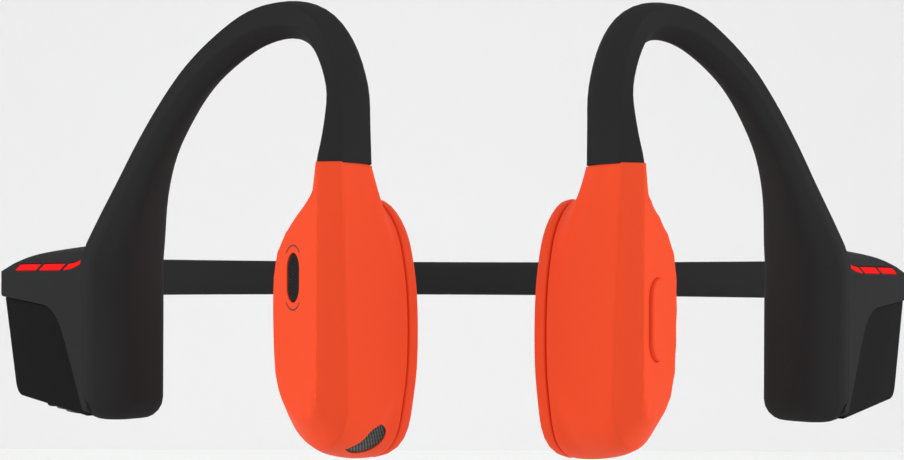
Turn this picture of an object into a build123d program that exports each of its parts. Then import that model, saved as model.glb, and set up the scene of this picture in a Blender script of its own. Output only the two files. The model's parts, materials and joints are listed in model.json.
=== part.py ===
from build123d import *
import math
import os

# Bone conduction headphones, millimetres. +X is the wearer's left, -Y the wearer's front, +Z up.
# Origin: bottom centre of the whole object. Each side piece is drawn once, on the wearer's right
# (-X), and mirrored for the left.

# ---------------------------------------------------------------- frame of the two sides
TOE_IN = 35.0                              # turn of the pods and housings towards the head
LEVEL = 21.3                               # height of the neckband's centre line
POD_CENTRE = (-15.9, -45.1, LEVEL - 5.7)
HOUSING_CREASE = (-46.5, -33.0, LEVEL)     # front edge of the housing's flat outer face
FIT = 0.03                                 # clearance of a bonded or moulded-in piece
SLIDE = 0.08                               # radial clearance of a moving button

# ---------------------------------------------------------------- ear pods
POD_HALF_WIDTH = 8.0
POD_HALF_HEIGHT = 15.1
POD_OVAL_DROP = 0.5
POD_END_RADIUS = 6.9
POD_FACE = 6.35                            # outer flat face above the pod's mid plane
POD_CREASE = 4.13                          # where the bevel round the outer face begins
POD_NECK_BACK = 0.5                        # head side of the neck
POD_SEAM = -4.5                            # seam between shell and skin pad
POD_TOP = 18.6                             # height of the seam with the ear hook
PAD_GAP = 0.2                              # running gap between pad and shell
PAD_FACE = -6.35
PAD_WALL = 1.1
PAD_EDGE_ROUND = 0.9
SHELL_WALL = 1.3
RECESS_FLOOR = -0.5                        # floor of the oval recess behind the panel

# transducer, along the pod's own axis
TRANSDUCER_CENTRE = (0.8, -3.0)
TRANSDUCER_FLOOR = 4.2
YOKE_RADIUS = 5.6
YOKE_WALL = 0.8
YOKE_DEPTH = 3.0
MAGNET_RADIUS = 3.8
MAGNET_DEPTH = 1.6
POLE_DEPTH = 0.6
COIL_INNER = 4.05
COIL_OUTER = 4.55
COIL_TOP = 2.9
SPRING_TOP = -1.0
SPRING_THICKNESS = 0.2
SPRING_ARM_WIDTH = 2.6
SPRING_REACH = 8.3                         # centre of the ring to the end of each arm
POST_RADIUS = 1.1
PANEL_THICKNESS = 0.5
PANEL_FIT = 0.06

# microphone on the right pod, button on the left pod
MIC_CENTRE = (0.95, 5.7)
MIC_LENGTH = 5.6
MIC_WIDTH = 2.6
MIC_RECESS = 0.9
MESH_THICKNESS = 0.5
MIC_HOLE_RADIUS = 0.6
MIC_CAN = (3.0, 3.4, 1.0)
MIC_SEAL = 0.3
VENT_WIDE_END = (1.5, 0.4)                 # centre of the vent's wide end in the vent's plane
VENT_HALF_WIDTH = 1.2
VENT_SINK = 0.35
BUTTON_CENTRE = (2.2, 1.2)
BUTTON_LENGTH = 9.2
BUTTON_WIDTH = 4.5
BUTTON_PROUD = 0.5
BUTTON_TRAVEL = 0.3
BUTTON_PLATE = 1.3
SWITCH_CENTRE = (2.2, 4.3)
SWITCH_SIZE = (3.2, 3.0, 1.2)
SWITCH_DOME = 0.3
PLUNGER_RADIUS = 0.7
BOARD_THICKNESS = 0.6
POCKET_CEILING = 5.0
CABLE_MOUTH_TOP = 1.9

# ---------------------------------------------------------------- ear hooks
CORE_RADIUS = 0.6
CABLE_RADIUS = 0.45
CABLE_OFFSET = 1.7
CORE_IN_POD = 6.0                          # how far the hook's wire reaches into the pod's neck
CABLE_IN_POD = 10.3
# centre of each section (its height above the neckband), heading of its flat facet, facet span
# across, reach to the arch's inside and outside, reach to the facet and to the back
HOOK_STATIONS = [
    ((-14.9, -51.0, 12.9), 10, (-0.72, 2.43), (2.7, 3.10), (2.92, 2.4)),
    ((-14.7, -50.4, 16.7), 12, (-0.30, 2.20), (2.4, 2.65), (2.70, 2.4)),
    ((-15.0, -49.5, 21.0), 16, (0.00, 2.00), (2.2, 2.40), (2.50, 2.4)),
    ((-16.5, -47.5, 25.6), 22, (-0.40, 1.90), (2.2, 2.35), (2.40, 2.5)),
    ((-18.9, -45.0, 28.6), 28, (-1.20, 1.30), (2.2, 2.30), (2.30, 2.5)),
    ((-22.1, -42.5, 30.0), 34, (-1.70, 0.90), (2.2, 2.10), (2.10, 2.5)),
    ((-25.7, -40.2, 29.7), 38, (-1.60, 0.90), (2.3, 1.75), (1.80, 2.5)),
    ((-29.3, -38.0, 27.8), 42, (-1.25, 1.00), (2.4, 1.40), (1.55, 2.6)),
    ((-32.8, -36.0, 24.7), 45, (-1.10, 1.00), (2.5, 1.25), (1.45, 2.8)),
    ((-35.8, -34.4, 20.9), 48, (-1.10, 1.00), (2.7, 1.25), (1.50, 3.0)),
    ((-38.5, -33.0, 16.1), 51, (-1.25, 0.90), (2.9, 1.45), (1.80, 3.3)),
    ((-40.5, -31.9, 11.0), 53, (-1.70, 0.70), (3.2, 2.00), (2.40, 4.0)),
    ((-42.1, -31.0, 4.8), 55, (-2.70, 0.30), (3.4, 3.00), (3.50, 5.1)),
    ((-42.8, -30.5, -2.8), 55, (-3.50, -0.10), (3.3, 4.00), (4.43, 5.5)),
    ((-42.8, -30.5, -10.0), 55, (-3.50, -0.10), (3.4, 4.00), (4.43, 5.5)),
]
PILLAR_START = 13                          # first of the stations of the upright pillar
PILLAR_FOOT = -17.7
PILLAR_ROUND = 2.6
FOOT_ANGLES = (0, 25, 50, 70, 85)

# ---------------------------------------------------------------- housings behind the ears
# in the housing's own frame: x forward from the crease, y up from the band's level, z out
HOUSING_LENGTH = 30.3
HOUSING_THICKNESS = 10.3
HOUSING_FRONT = -0.6                       # the block ends inside the pillar
BAND_LINE = -2.6                           # lower edge of the upper band
HOUSING_BOTTOM_REAR = -16.3
HOUSING_BOTTOM_FRONT = -17.4
TOP_EDGE = 0.75
BEVEL_UP = 1.1
BEVEL_IN = 0.7
DOME_FRONT = 4.2
DOME_REAR = 2.4
COVER_SINK = 0.4
COVER_ROUND = 4.5
COVER_THICKNESS = 1.2
COVER_GAP = 0.1
CASE_X = (-24.3, -3.6)
CASE_Y = (-14.9, -1.2)
CASE_DEPTH = 7.2
CASE_WALL = 0.9
CASE_TOP = -1.9                            # outer wall of the inner case, below the flat face
CASE_ROUND = 1.8
SEAL_WIDTH = 0.9
SEAL_SET_IN = 0.2
FOOT_ROUND = 1.4
WIRE_BOSS = (1.4, -8.0, -3.4, -5.5, -3.45)  # front, bottom, top, head side, outer side
CORE_IN_BOSS = 3.6
CABLE_ENTRY = -10.5
CABLE_TURN = 3.0

LIGHT_SEGMENTS = [(-24.9, -17.4), (-16.3, -9.2), (-8.2, -3.6)]
LIGHT_DEPTH = 1.5
LIGHT_HEIGHT = 1.0
LED_BOARD_THICKNESS = 0.6
LED_BOARD_WIDTH = 1.6

BOARD_MARGIN = 0.45                        # between the main board's ends and the case's walls
BOARD_SIZE = (CASE_X[1] - CASE_X[0] - 2 * (CASE_WALL + BOARD_MARGIN), 10.4, 0.8)
BOARD_LEVEL = -7.9
BATTERY_SIZE = (17.0, 10.4, 4.2)
FOAM_THICKNESS = 0.4
CHIPS = [(-2.5, 1.8, 4.0, 4.0, 1.0), (2.4, 2.2, 3.4, 2.6, 0.8), (5.8, -1.6, 2.2, 2.2, 0.7)]
SCREW_SPOTS = [(-21.4, -4.6), (-6.2, -4.6), (-13.6, -10.6)]
SCREW_RADIUS = 0.5
SCREW_BOSS_RADIUS = 1.1
SCREW_BOSS_HEIGHT = 2.0

# underside of the right housing: two buttons and the charging port between them
FOOT_MIDDLE = -5.5                         # line of the buttons below the flat outer face
VOLUME_BUTTONS = {"volume_minus": (-7.3, 5.0), "volume_plus": (-22.6, 3.4)}
SWITCH_X = {"volume_minus": -7.3, "volume_plus": -22.1}
VOLUME_BUTTON_WIDTH = 3.0
VOLUME_BUTTON_TRAVEL = 0.35
VOLUME_FACE = -17.9
FLANGE_EXTRA = 0.6
FLANGE_THICKNESS = 0.4
STEM_RADIUS = 0.6
STEM_OUT = -0.4
STEM_ROOT = 0.2                            # how far a stem runs into its cap
SWITCH_TIP = -13.9
PORT_X = -15.4
PORT_LENGTH = 9.2
PORT_WIDTH = 4.4
PORT_FACE = -17.8
PORT_BACK = -14.0
PORT_FLANGE = 0.6
PORT_PAD = (5.3, 2.6, 0.35)
CONTACT_PITCH = 2.4
CONTACT_RADIUS = 0.5
CONTACTS = 2

# ---------------------------------------------------------------- neckband
BAND_HEIGHT = 6.0
BAND_THICKNESS = 3.6
BAND_BACK = 52.0                           # centre line at the back of the neck
BACK_RADIUS = 65.0
SIDE_RADIUS = 30.0
BACK_SWEEP = 60.0
SIDE_SWEEP = 50.0
BAND_TAIL = 5.0
BAND_CORE_RADIUS = 0.65
BAND_CABLE_RADIUS = 0.55
BAND_PITCH = 1.4                           # core above, cable below the middle
BAND_REACH = 2.5                           # wire and cable beyond the sleeve's ends
BAND_CLEAR = 0.2


def save(shape, name):
    """Write one sub-part as parts/NAME.step."""
    shape.label = name
    export_step(shape, f"parts/{name}.step")


def side_plane(point):
    """A plane on the right side: x forward, y up, z out from the head."""
    turn = math.radians(TOE_IN)
    forward = (math.sin(turn), -math.cos(turn), 0)
    outward = (-math.cos(turn), -math.sin(turn), 0)
    return Plane(origin=point, x_dir=forward, z_dir=outward)


POD = side_plane(POD_CENTRE)
# the vent's plane in the pod's frame: x towards the head, y up, z out of the pod's foot
VENT_PLANE = Plane(origin=(5.8, -11.7, 0), x_dir=(0, 0, -1), z_dir=(0.8, -0.6, 0))
HOUSING = side_plane(HOUSING_CREASE)


def placed(shape, plane):
    """Move a shape from its own frame to its place on the right side."""
    return plane.location * shape


def save_side(shape, name, side):
    """Write a right-hand piece, or its mirror image for the left."""
    save(shape if side == "right" else mirror(shape, about=Plane.YZ), f"{side}_{name}")


def slab(sketch, low, high):
    """Extrude a sketch of the XY plane between two heights."""
    return extrude(Pos(0, 0, low) * sketch, high - low, dir=(0, 0, 1))


def block(x_span, y_span, z_span):
    """A box from its spans."""
    size = [high - low for low, high in (x_span, y_span, z_span)]
    middle = [(high + low) / 2 for low, high in (x_span, y_span, z_span)]
    return Pos(*middle) * Box(*size)


def disc(centre, radius, low, high):
    """A cylinder along Z between two heights."""
    return slab(Pos(*centre) * Circle(radius), low, high)


def oval(half_width, half_height, end_radius):
    """A tall oval: round ends joined by two wide side arcs that meet them in line."""
    rise = half_height - end_radius
    side = (half_width**2 + rise**2 - end_radius**2) / (2 * (half_width - end_radius))
    turn = math.atan2(rise, side - half_width)
    meet_x = side * math.cos(turn) - (side - half_width)
    meet_y = side * math.sin(turn)
    right = ThreePointArc((meet_x, -meet_y), (half_width, 0), (meet_x, meet_y))
    top = ThreePointArc((meet_x, meet_y), (0, half_height), (-meet_x, meet_y))
    left = ThreePointArc((-meet_x, meet_y), (-half_width, 0), (-meet_x, -meet_y))
    bottom = ThreePointArc((-meet_x, -meet_y), (0, -half_height), (meet_x, -meet_y))
    return make_face([right, top, left, bottom])


def pod_oval(inset):
    """The pod's rim outline, drawn in by an inset."""
    return Pos(0, -POD_OVAL_DROP) * oval(POD_HALF_WIDTH - inset, POD_HALF_HEIGHT - inset, POD_END_RADIUS - inset)


def pill(length, width):
    """A slot standing along Y."""
    return Rot(0, 0, 90) * SlotOverall(length, width)


# ---------------------------------------------------------------- ear pod

def leaf(front, tip, lower, rear, top_rear):
    """Outline of the pod's outer side: straight front, rounded foot, back that sweeps to the neck."""
    foot = (front, tip[1] + (front - tip[0]) * 1.1)
    front_line = Line((front, POD_TOP), foot)
    toe = Spline(foot, tip, lower, tangents=[(0, -1), (-0.62, 0.78)])
    heel = Spline(lower, rear, tangents=[(-0.62, 0.78), (0, 1)])
    shoulder = Spline(rear, (rear[0] + 0.52 * (top_rear - rear[0]), 13.0), (top_rear, POD_TOP),
                      tangents=[(0, 1), (0.05, 1)])
    top = Line((top_rear, POD_TOP), (front, POD_TOP))
    return make_face([front_line, toe, heel, shoulder, top])


def pod_body():
    """Solid outer form of the shell: oval rim, neck and bevelled flat face."""
    face = leaf(5.76, (2.6, -9.7), (-1.6, -7.4), (-3.3, 3.6), 5.5)
    crease = leaf(7.97, (3.6, -13.1), (-3.9, -9.2), (-6.4, 2.6), 2.7)
    bevel = loft([Pos(0, 0, POD_CREASE) * crease, Pos(0, 0, POD_FACE) * face], ruled=True)
    neck = slab(crease, POD_NECK_BACK, POD_CREASE)
    waist = Pos(0.6, -0.6, POD_CREASE) * oval(7.35, 12.3, 6.6)
    bowl = loft([Pos(0, 0, POD_SEAM) * pod_oval(0), waist], ruled=True)
    return bowl + neck + bevel


def pod_shell(side, hook):
    """Hard shell of the pod with its recess, transducer seat and the side's own openings."""
    shell = pod_body()
    shell -= slab(pod_oval(SHELL_WALL), POD_SEAM, RECESS_FLOOR)
    shell -= disc(TRANSDUCER_CENTRE, YOKE_RADIUS + FIT, RECESS_FLOOR, TRANSDUCER_FLOOR)
    shell += spring_posts()
    shell -= disc(cable_mouth(), 2 * CABLE_RADIUS, RECESS_FLOOR, CABLE_MOUTH_TOP)
    if side == "right":
        shell -= mic_openings()
        shell -= vent_prism(0, -VENT_SINK - MESH_THICKNESS, VENT_HALF_WIDTH)
        shell -= VENT_PLANE.location * disc(VENT_WIDE_END, VENT_HALF_WIDTH / 2, -2 * SHELL_WALL, 0)
    else:
        shell -= button_openings()
    shell = placed(shell, POD)
    return shell - hook


def cable_mouth():
    """Where the hook's cable comes out into the pod's recess."""
    return (4.19, POD_TOP - CABLE_IN_POD)


def spring_posts():
    """Two posts that carry the ends of the leaf spring."""
    posts = Part()
    for sign in (-1, 1):
        spot = spring_end(sign)
        posts += disc(spot, POST_RADIUS, SPRING_TOP, RECESS_FLOOR + 0.4)
    return posts


def spring_end(sign):
    """Centre of a leaf spring's end, above or below the transducer."""
    return (TRANSDUCER_CENTRE[0], TRANSDUCER_CENTRE[1] + sign * (SPRING_REACH - POST_RADIUS))


def mic_openings():
    """Recess, sound hole and pocket for the microphone."""
    recess_floor = POD_FACE - MIC_RECESS
    cut = slab(Pos(*MIC_CENTRE) * pill(MIC_LENGTH, MIC_WIDTH), recess_floor, POD_FACE)
    cut += disc(MIC_CENTRE, MIC_HOLE_RADIUS, POCKET_CEILING, recess_floor)
    return cut + pocket(MIC_CENTRE, MIC_CAN[0], MIC_CAN[1])


def pocket(centre, width, height):
    """Rectangular pocket from the oval recess up to the outer wall."""
    half_x, half_y = width / 2 + SLIDE, height / 2 + SLIDE
    x_span = (centre[0] - half_x, centre[0] + half_x)
    y_span = (centre[1] - half_y, centre[1] + half_y)
    return block(x_span, y_span, (RECESS_FLOOR, POCKET_CEILING))


def button_openings():
    """Pill-shaped seat for the button cap, hole for its stem and pocket for the switch."""
    floor = button_seat()
    outline = pill(BUTTON_LENGTH + 2 * SLIDE, BUTTON_WIDTH + 2 * SLIDE)
    cut = slab(Pos(*BUTTON_CENTRE) * outline, floor, POD_FACE)
    cut += disc(SWITCH_CENTRE, PLUNGER_RADIUS + SLIDE, POCKET_CEILING, floor)
    return cut + pocket(SWITCH_CENTRE, SWITCH_SIZE[0], SWITCH_SIZE[1])


def button_seat():
    """Height of the seat's floor: the cap's plate and its travel below the proud top."""
    return POD_FACE + BUTTON_PROUD - BUTTON_PLATE - BUTTON_TRAVEL - SLIDE


def multifunction_button():
    """Pill-shaped cap with a rounded edge and a stem that reaches the switch."""
    top = POD_FACE + BUTTON_PROUD
    cap = slab(Pos(*BUTTON_CENTRE) * pill(BUTTON_LENGTH, BUTTON_WIDTH), top - BUTTON_PLATE, top)
    cap = fillet(cap.faces().sort_by(Axis.Z)[-1].edges(), 0.3)
    return cap + disc(SWITCH_CENTRE, PLUNGER_RADIUS, stem_end(), top - BUTTON_PLATE)


def stem_end():
    """Height of the stem's end at rest."""
    return POCKET_CEILING - 0.2


def switch_top():
    """Height of the switch's dome, one travel below the stem."""
    return stem_end() - BUTTON_TRAVEL - 0.02


def multifunction_switch():
    """Tact switch: a can with a round dome."""
    can_top = switch_top() - SWITCH_DOME
    can_low = can_top - SWITCH_SIZE[2]
    half_x, half_y = SWITCH_SIZE[0] / 2, SWITCH_SIZE[1] / 2
    x, y = SWITCH_CENTRE
    can = block((x - half_x, x + half_x), (y - half_y, y + half_y), (can_low, can_top))
    return can + disc(SWITCH_CENTRE, PLUNGER_RADIUS * 1.4, can_top, switch_top())


def multifunction_board():
    """Small board that carries the switch on two ledges of the shell."""
    high = switch_top() - SWITCH_DOME - SWITCH_SIZE[2]
    half_x, half_y = SWITCH_SIZE[0] / 2, SWITCH_SIZE[1] / 2
    x, y = SWITCH_CENTRE
    return block((x - half_x, x + half_x), (y - half_y, y + half_y),
                 (high - BOARD_THICKNESS, high))


def mic_mesh():
    """Woven cover in the microphone's recess."""
    floor = POD_FACE - MIC_RECESS
    outline = Pos(*MIC_CENTRE) * pill(MIC_LENGTH - 2 * FIT, MIC_WIDTH - 2 * FIT)
    return slab(outline, floor, floor + MESH_THICKNESS)


def mic_gasket():
    """Seal ring between the microphone and the wall."""
    ring = Circle(1.3) - Circle(MIC_HOLE_RADIUS)
    return slab(Pos(*MIC_CENTRE) * ring, POCKET_CEILING - MIC_SEAL, POCKET_CEILING)


def mic_capsule():
    """Microphone can with its sound port facing the hole."""
    high = POCKET_CEILING - MIC_SEAL
    half_x, half_y = MIC_CAN[0] / 2, MIC_CAN[1] / 2
    x, y = MIC_CENTRE
    can = block((x - half_x, x + half_x), (y - half_y, y + half_y), (high - MIC_CAN[2], high))
    return can - disc(MIC_CENTRE, 0.3, high - 0.3, high)


def mic_board():
    """Flexible board behind the microphone."""
    high = POCKET_CEILING - MIC_SEAL - MIC_CAN[2]
    half_x, half_y = MIC_CAN[0] / 2, MIC_CAN[1] / 2
    x, y = MIC_CENTRE
    return block((x - half_x, x + half_x), (y - half_y, y + half_y), (high - 0.3, high))


def vent_outline(grow):
    """Comma that narrows from a wide round end to a tip."""
    def spread(x, y):
        share = 1 + grow / VENT_HALF_WIDTH
        return (VENT_WIDE_END[0] + share * x, VENT_WIDE_END[1] + share * y)

    tip, crown = spread(-3.2, -2.3), spread(0, 1.2)
    belly = Spline(tip, spread(-0.9, -2.1), spread(0.8, -1.1), spread(1.2, 0.1), crown,
                   tangents=[(1, -0.1), (-1, 0)])
    hollow = Spline(crown, spread(-0.95, 0.5), spread(-1.75, -1.0), tip,
                    tangents=[(-1, 0), (-1, -0.75)])
    return make_face([belly, hollow])


def vent_prism(grow, low, high):
    """The vent's comma through the pod's foot, between two depths."""
    return VENT_PLANE.location * slab(vent_outline(grow), low, high)


def port_mesh():
    """Woven cover of the vent at the pod's foot."""
    return vent_prism(-FIT, -VENT_SINK - MESH_THICKNESS, -VENT_SINK)


def skin_pad():
    """Soft tray that rests on the cheek and carries the vibrating panel."""
    edge = POD_SEAM - PAD_GAP
    pad = slab(pod_oval(0), PAD_FACE, edge)
    pad = fillet(pad.faces().sort_by(Axis.Z)[0].edges(), PAD_EDGE_ROUND)
    return pad - slab(pod_oval(PAD_WALL), PAD_FACE + PAD_WALL, edge)


def vibration_panel():
    """Stiff plate bonded into the pad, with the ring that carries spring and coil."""
    low = PAD_FACE + PAD_WALL
    plate = slab(pod_oval(PAD_WALL + PANEL_FIT), low, low + PANEL_THICKNESS)
    ring = Circle(COIL_OUTER) - Circle(COIL_INNER)
    stem = slab(Pos(*TRANSDUCER_CENTRE) * ring, low + PANEL_THICKNESS, SPRING_TOP - SPRING_THICKNESS)
    return plate + stem


def leaf_spring():
    """Flat spring: a ring on the panel's stem with one arm up and one arm down."""
    x, y = TRANSDUCER_CENTRE
    arms = Pos(x, y) * pill(2 * SPRING_REACH, SPRING_ARM_WIDTH)
    ring = Pos(x, y) * Circle(COIL_OUTER)
    flat = arms + ring - Pos(x, y) * Circle(COIL_INNER)
    return slab(flat, SPRING_TOP - SPRING_THICKNESS, SPRING_TOP)


def voice_coil():
    """Wound ring that drives the panel."""
    ring = Circle(COIL_OUTER) - Circle(COIL_INNER)
    return slab(Pos(*TRANSDUCER_CENTRE) * ring, SPRING_TOP, COIL_TOP)


def transducer_yoke():
    """Soft iron cup round the magnet."""
    cup = disc(TRANSDUCER_CENTRE, YOKE_RADIUS, TRANSDUCER_FLOOR - YOKE_DEPTH, TRANSDUCER_FLOOR)
    return cup - disc(TRANSDUCER_CENTRE, YOKE_RADIUS - YOKE_WALL,
                      TRANSDUCER_FLOOR - YOKE_DEPTH, TRANSDUCER_FLOOR - YOKE_WALL)


def transducer_magnet():
    """Magnet disc on the floor of the cup."""
    high = TRANSDUCER_FLOOR - YOKE_WALL
    return disc(TRANSDUCER_CENTRE, MAGNET_RADIUS, high - MAGNET_DEPTH, high)


def pole_plate():
    """Pole disc on the magnet."""
    high = TRANSDUCER_FLOOR - YOKE_WALL - MAGNET_DEPTH
    return disc(TRANSDUCER_CENTRE, MAGNET_RADIUS, high - POLE_DEPTH, high)


# ---------------------------------------------------------------- ear hook

def station_frames():
    """Plane of each hook section: x towards the arch's inside, y towards the facet."""
    points = [Vector(x, y, LEVEL + z) for (x, y, z), *_ in HOOK_STATIONS]
    frames = []
    for index, station in enumerate(HOOK_STATIONS):
        before = points[max(index - 1, 0)]
        after = points[min(index + 1, len(points) - 1)]
        along = (after - before).normalized()
        if index == 0:
            along = Vector(0, 0, 1)
        elif index >= PILLAR_START:
            along = Vector(0, 0, -1)
        angle = math.radians(station[1])
        facet = Vector(-math.sin(angle), -math.cos(angle), 0)
        facet = (facet - along * facet.dot(along)).normalized()
        frames.append(Plane(origin=points[index], x_dir=facet.cross(along), z_dir=along))
    return frames


def hook_section(facet, reach, depth):
    """One hook section: a flat facet with crisp edges and a rounded back."""
    inside, outside = reach
    front, back = depth
    flat = Line((facet[0], front), (facet[1], front))
    belly = Spline(
        (facet[1], front), (inside, 0.1 * front), (0.72 * inside, -0.72 * back), (0, -back),
        (-0.72 * outside, -0.72 * back), (-outside, 0.1 * front), (facet[0], front),
    )
    return make_face([flat, belly])


def foot_sections():
    """Sections that round off the pillar's foot."""
    (x, y, _), _, facet, reach, depth = HOOK_STATIONS[-1]
    frame = station_frames()[-1]
    sections = []
    for angle in FOOT_ANGLES:
        inset = PILLAR_ROUND * (1 - math.cos(math.radians(angle)))
        rise = PILLAR_ROUND * (1 - math.sin(math.radians(angle)))
        frame.origin = Vector(x, y, LEVEL + PILLAR_FOOT + rise)
        section = hook_section(
            (facet[0] + inset, facet[1]), [side - inset for side in reach],
            [side - inset for side in depth])
        sections.append(frame.location * section)
    return sections


def hook_form():
    """The ear hook and the pillar in front of the housing."""
    sections = []
    for plane, (_, _, facet, reach, depth) in zip(station_frames(), HOOK_STATIONS):
        sections.append(plane.location * hook_section(facet, reach, depth))
    return loft(sections + foot_sections())


def run_through(points, start):
    """A smooth path of arcs and straight runs, each in line with the one before it."""
    runs = []
    heading = Vector(*start)
    for first, last in zip(points, points[1:]):
        chord = (last - first).normalized()
        if heading.cross(chord).length < 1e-3:
            run = Line(first, last)
        else:
            run = TangentArc(first, last, tangent=heading)
        runs.append(run)
        heading = run % 1
    return Wire(runs)


def rod(points, start, radius):
    """A round wire along a smooth path."""
    ring = Plane(origin=points[0], z_dir=start) * Circle(radius)
    return sweep(ring, path=run_through(points, start))


def hook_route(setback, in_pod):
    """Points of a wire in the hook, from inside the pod's neck to the top of the pillar."""
    frames = station_frames()
    points = [frames[i].origin - frames[i].y_dir * setback for i in range(0, PILLAR_START, 2)]
    return [points[0] - Vector(0, 0, in_pod)] + points


def hook_core():
    """Springy wire of the hook, held in the pod's neck and in the case's boss."""
    route = hook_route(0, CORE_IN_POD)
    frame = station_frames()[PILLAR_START]
    route.append(frame.origin - Vector(0, 0, 1))
    route.append(frame.origin - Vector(0, 0, CORE_IN_BOSS))
    return rod(route, (0, 0, 1), CORE_RADIUS)


def hook_cable():
    """Cable of the hook, from the pod's recess into the front of the case."""
    route = hook_route(CABLE_OFFSET, CABLE_IN_POD)
    frame = station_frames()[PILLAR_START]
    top = frame.origin - frame.y_dir * CABLE_OFFSET
    local = HOUSING.to_local_coords(top)
    route.append(top)
    turn = CABLE_ENTRY + CABLE_TURN
    route.append(HOUSING.from_local_coords(Vector(local.X, turn, local.Z)))
    route.append(HOUSING.from_local_coords(Vector(local.X - CABLE_TURN, CABLE_ENTRY, local.Z)))
    route.append(HOUSING.from_local_coords(Vector(CASE_X[1] - CASE_WALL - 0.2, CABLE_ENTRY, local.Z)))
    return rod(route, (0, 0, 1), CABLE_RADIUS)


# ---------------------------------------------------------------- housing

def housing_side():
    """Side view of the housing, x forward and y up."""
    rear = -HOUSING_LENGTH
    return make_face([
        Line((HOUSING_FRONT, HOUSING_BOTTOM_FRONT), (rear + 7.2, HOUSING_BOTTOM_REAR)),
        ThreePointArc((rear + 7.2, HOUSING_BOTTOM_REAR), (rear + 5.6, HOUSING_BOTTOM_REAR + 0.5),
                      (rear + 4.7, HOUSING_BOTTOM_REAR + 1.9)),
        Line((rear + 4.7, HOUSING_BOTTOM_REAR + 1.9), (rear + 1.1, BAND_LINE - 0.2)),
        Line((rear + 1.1, BAND_LINE - 0.2), (rear, BAND_LINE + 0.2)),
        Line((rear, BAND_LINE + 0.2), (rear, TOP_EDGE)),
        Spline((rear, TOP_EDGE), (rear + 7.5, DOME_REAR + 0.5), (-8, DOME_FRONT - 0.1),
               (HOUSING_FRONT, DOME_FRONT)),
        Line((HOUSING_FRONT, DOME_FRONT), (HOUSING_FRONT, HOUSING_BOTTOM_FRONT)),
    ])


def housing_end():
    """End view of the housing, x out and y up: bevelled top edge and domed lid."""
    inner = -HOUSING_THICKNESS
    low = HOUSING_BOTTOM_FRONT - 1
    lid = (inner / 2 - 0.3, DOME_FRONT + 0.1)
    bevel_top = (-BEVEL_IN, TOP_EDGE + BEVEL_UP)
    return make_face([
        Line((0, low), (0, TOP_EDGE)),
        Line((0, TOP_EDGE), bevel_top),
        ThreePointArc(bevel_top, lid, (inner, TOP_EDGE)),
        Line((inner, TOP_EDGE), (inner, low)),
        Line((inner, low), (0, low)),
    ])


def housing_form():
    """Outer form of the block behind the ear."""
    side = slab(housing_side(), -HOUSING_THICKNESS - 1, 1)
    rear = Plane(origin=(-HOUSING_LENGTH - 2, 0, 0), x_dir=(0, 0, 1), z_dir=(-1, 0, 0))
    end = extrude(rear.location * housing_end(), HOUSING_LENGTH + 12, dir=(1, 0, 0))
    form = side & end
    low = [e for e in form.edges() if e.center().Y < HOUSING_BOTTOM_REAR + 2.2]
    long = [e for e in low if abs(e.center().Z + HOUSING_THICKNESS) < 0.1]
    return fillet(long, FOOT_ROUND)


def cover_outline(inset):
    """Outline of the inset cover on the flat outer face, drawn in by an inset."""
    rear = -HOUSING_LENGTH - 2
    low = HOUSING_BOTTOM_FRONT - 2
    corner = (-12.4, BAND_LINE - 1.2)
    outline = Polygon((rear, BAND_LINE), corner, (0, low), (rear, low), align=None)
    knee = outline.vertices().sort_by_distance(Vector(*corner))[0]
    outline = fillet(knee, COVER_ROUND)
    return offset(outline, -inset, kind=Kind.INTERSECTION) if inset else outline


def cover_blank(inset, low, high):
    """A slab with the cover's outline, cut off at the housing's own edge."""
    return slab(cover_outline(inset), low, high) & slab(housing_side(), low, high)


def case_outline(inset):
    """Outline of the inner case, drawn in by an inset."""
    length, height = CASE_X[1] - CASE_X[0], CASE_Y[1] - CASE_Y[0]
    middle = ((CASE_X[0] + CASE_X[1]) / 2, (CASE_Y[0] + CASE_Y[1]) / 2)
    corner = max(CASE_ROUND - inset, CASE_ROUND / 4)
    return Pos(*middle) * RectangleRounded(length - 2 * inset, height - 2 * inset, corner)


def case_block(inset):
    """Block of the inner case, drawn in by an inset."""
    return slab(case_outline(inset), CASE_TOP - CASE_DEPTH + inset, CASE_TOP - inset)


def seal_blank(inset, low, high):
    """A slab with the outline that cover and case share, drawn in by an inset."""
    inner = COVER_GAP + SEAL_SET_IN + inset
    return slab(cover_outline(inner), low, high) & slab(case_outline(inset), low, high)


def case_form():
    """Closed case with the boss that holds the hook's wire."""
    boss = block((CASE_X[1] - 1, WIRE_BOSS[0]), (WIRE_BOSS[1], WIRE_BOSS[2]),
                 (WIRE_BOSS[3], WIRE_BOSS[4]))
    return case_block(0) + boss


def case(side, inside):
    """Hard inner case, open under the cover."""
    shell = case_form() - case_block(CASE_WALL)
    shell -= seal_blank(SEAL_WIDTH + SEAL_SET_IN, CASE_TOP - CASE_WALL, CASE_TOP)
    if side == "right":
        for spot in SCREW_SPOTS:
            shell += disc(spot, SCREW_BOSS_RADIUS, case_floor(), board_low())
            shell -= disc(spot, SCREW_RADIUS, case_floor(), board_low())
        shell -= port_body(FIT)
        for name in VOLUME_BUTTONS:
            shell -= volume_stem(name, SLIDE, CASE_Y[0] + CASE_WALL)
    shell = placed(shell, HOUSING)
    for piece in inside:
        shell -= piece
    return shell


def case_floor():
    """Inside floor of the case, on the head side."""
    return CASE_TOP - CASE_DEPTH + CASE_WALL


def board_low():
    """Head side of the main board, on its bosses."""
    return case_floor() + SCREW_BOSS_HEIGHT


def side_cover():
    """Glossy cover let into the soft skin."""
    high = -COVER_SINK
    return cover_blank(COVER_GAP, high - COVER_THICKNESS, high)


def cover_gasket():
    """Seal between the cover and the case."""
    high = -COVER_SINK - COVER_THICKNESS
    return seal_blank(0, CASE_TOP, high) - seal_blank(SEAL_WIDTH, CASE_TOP, high)


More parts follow.
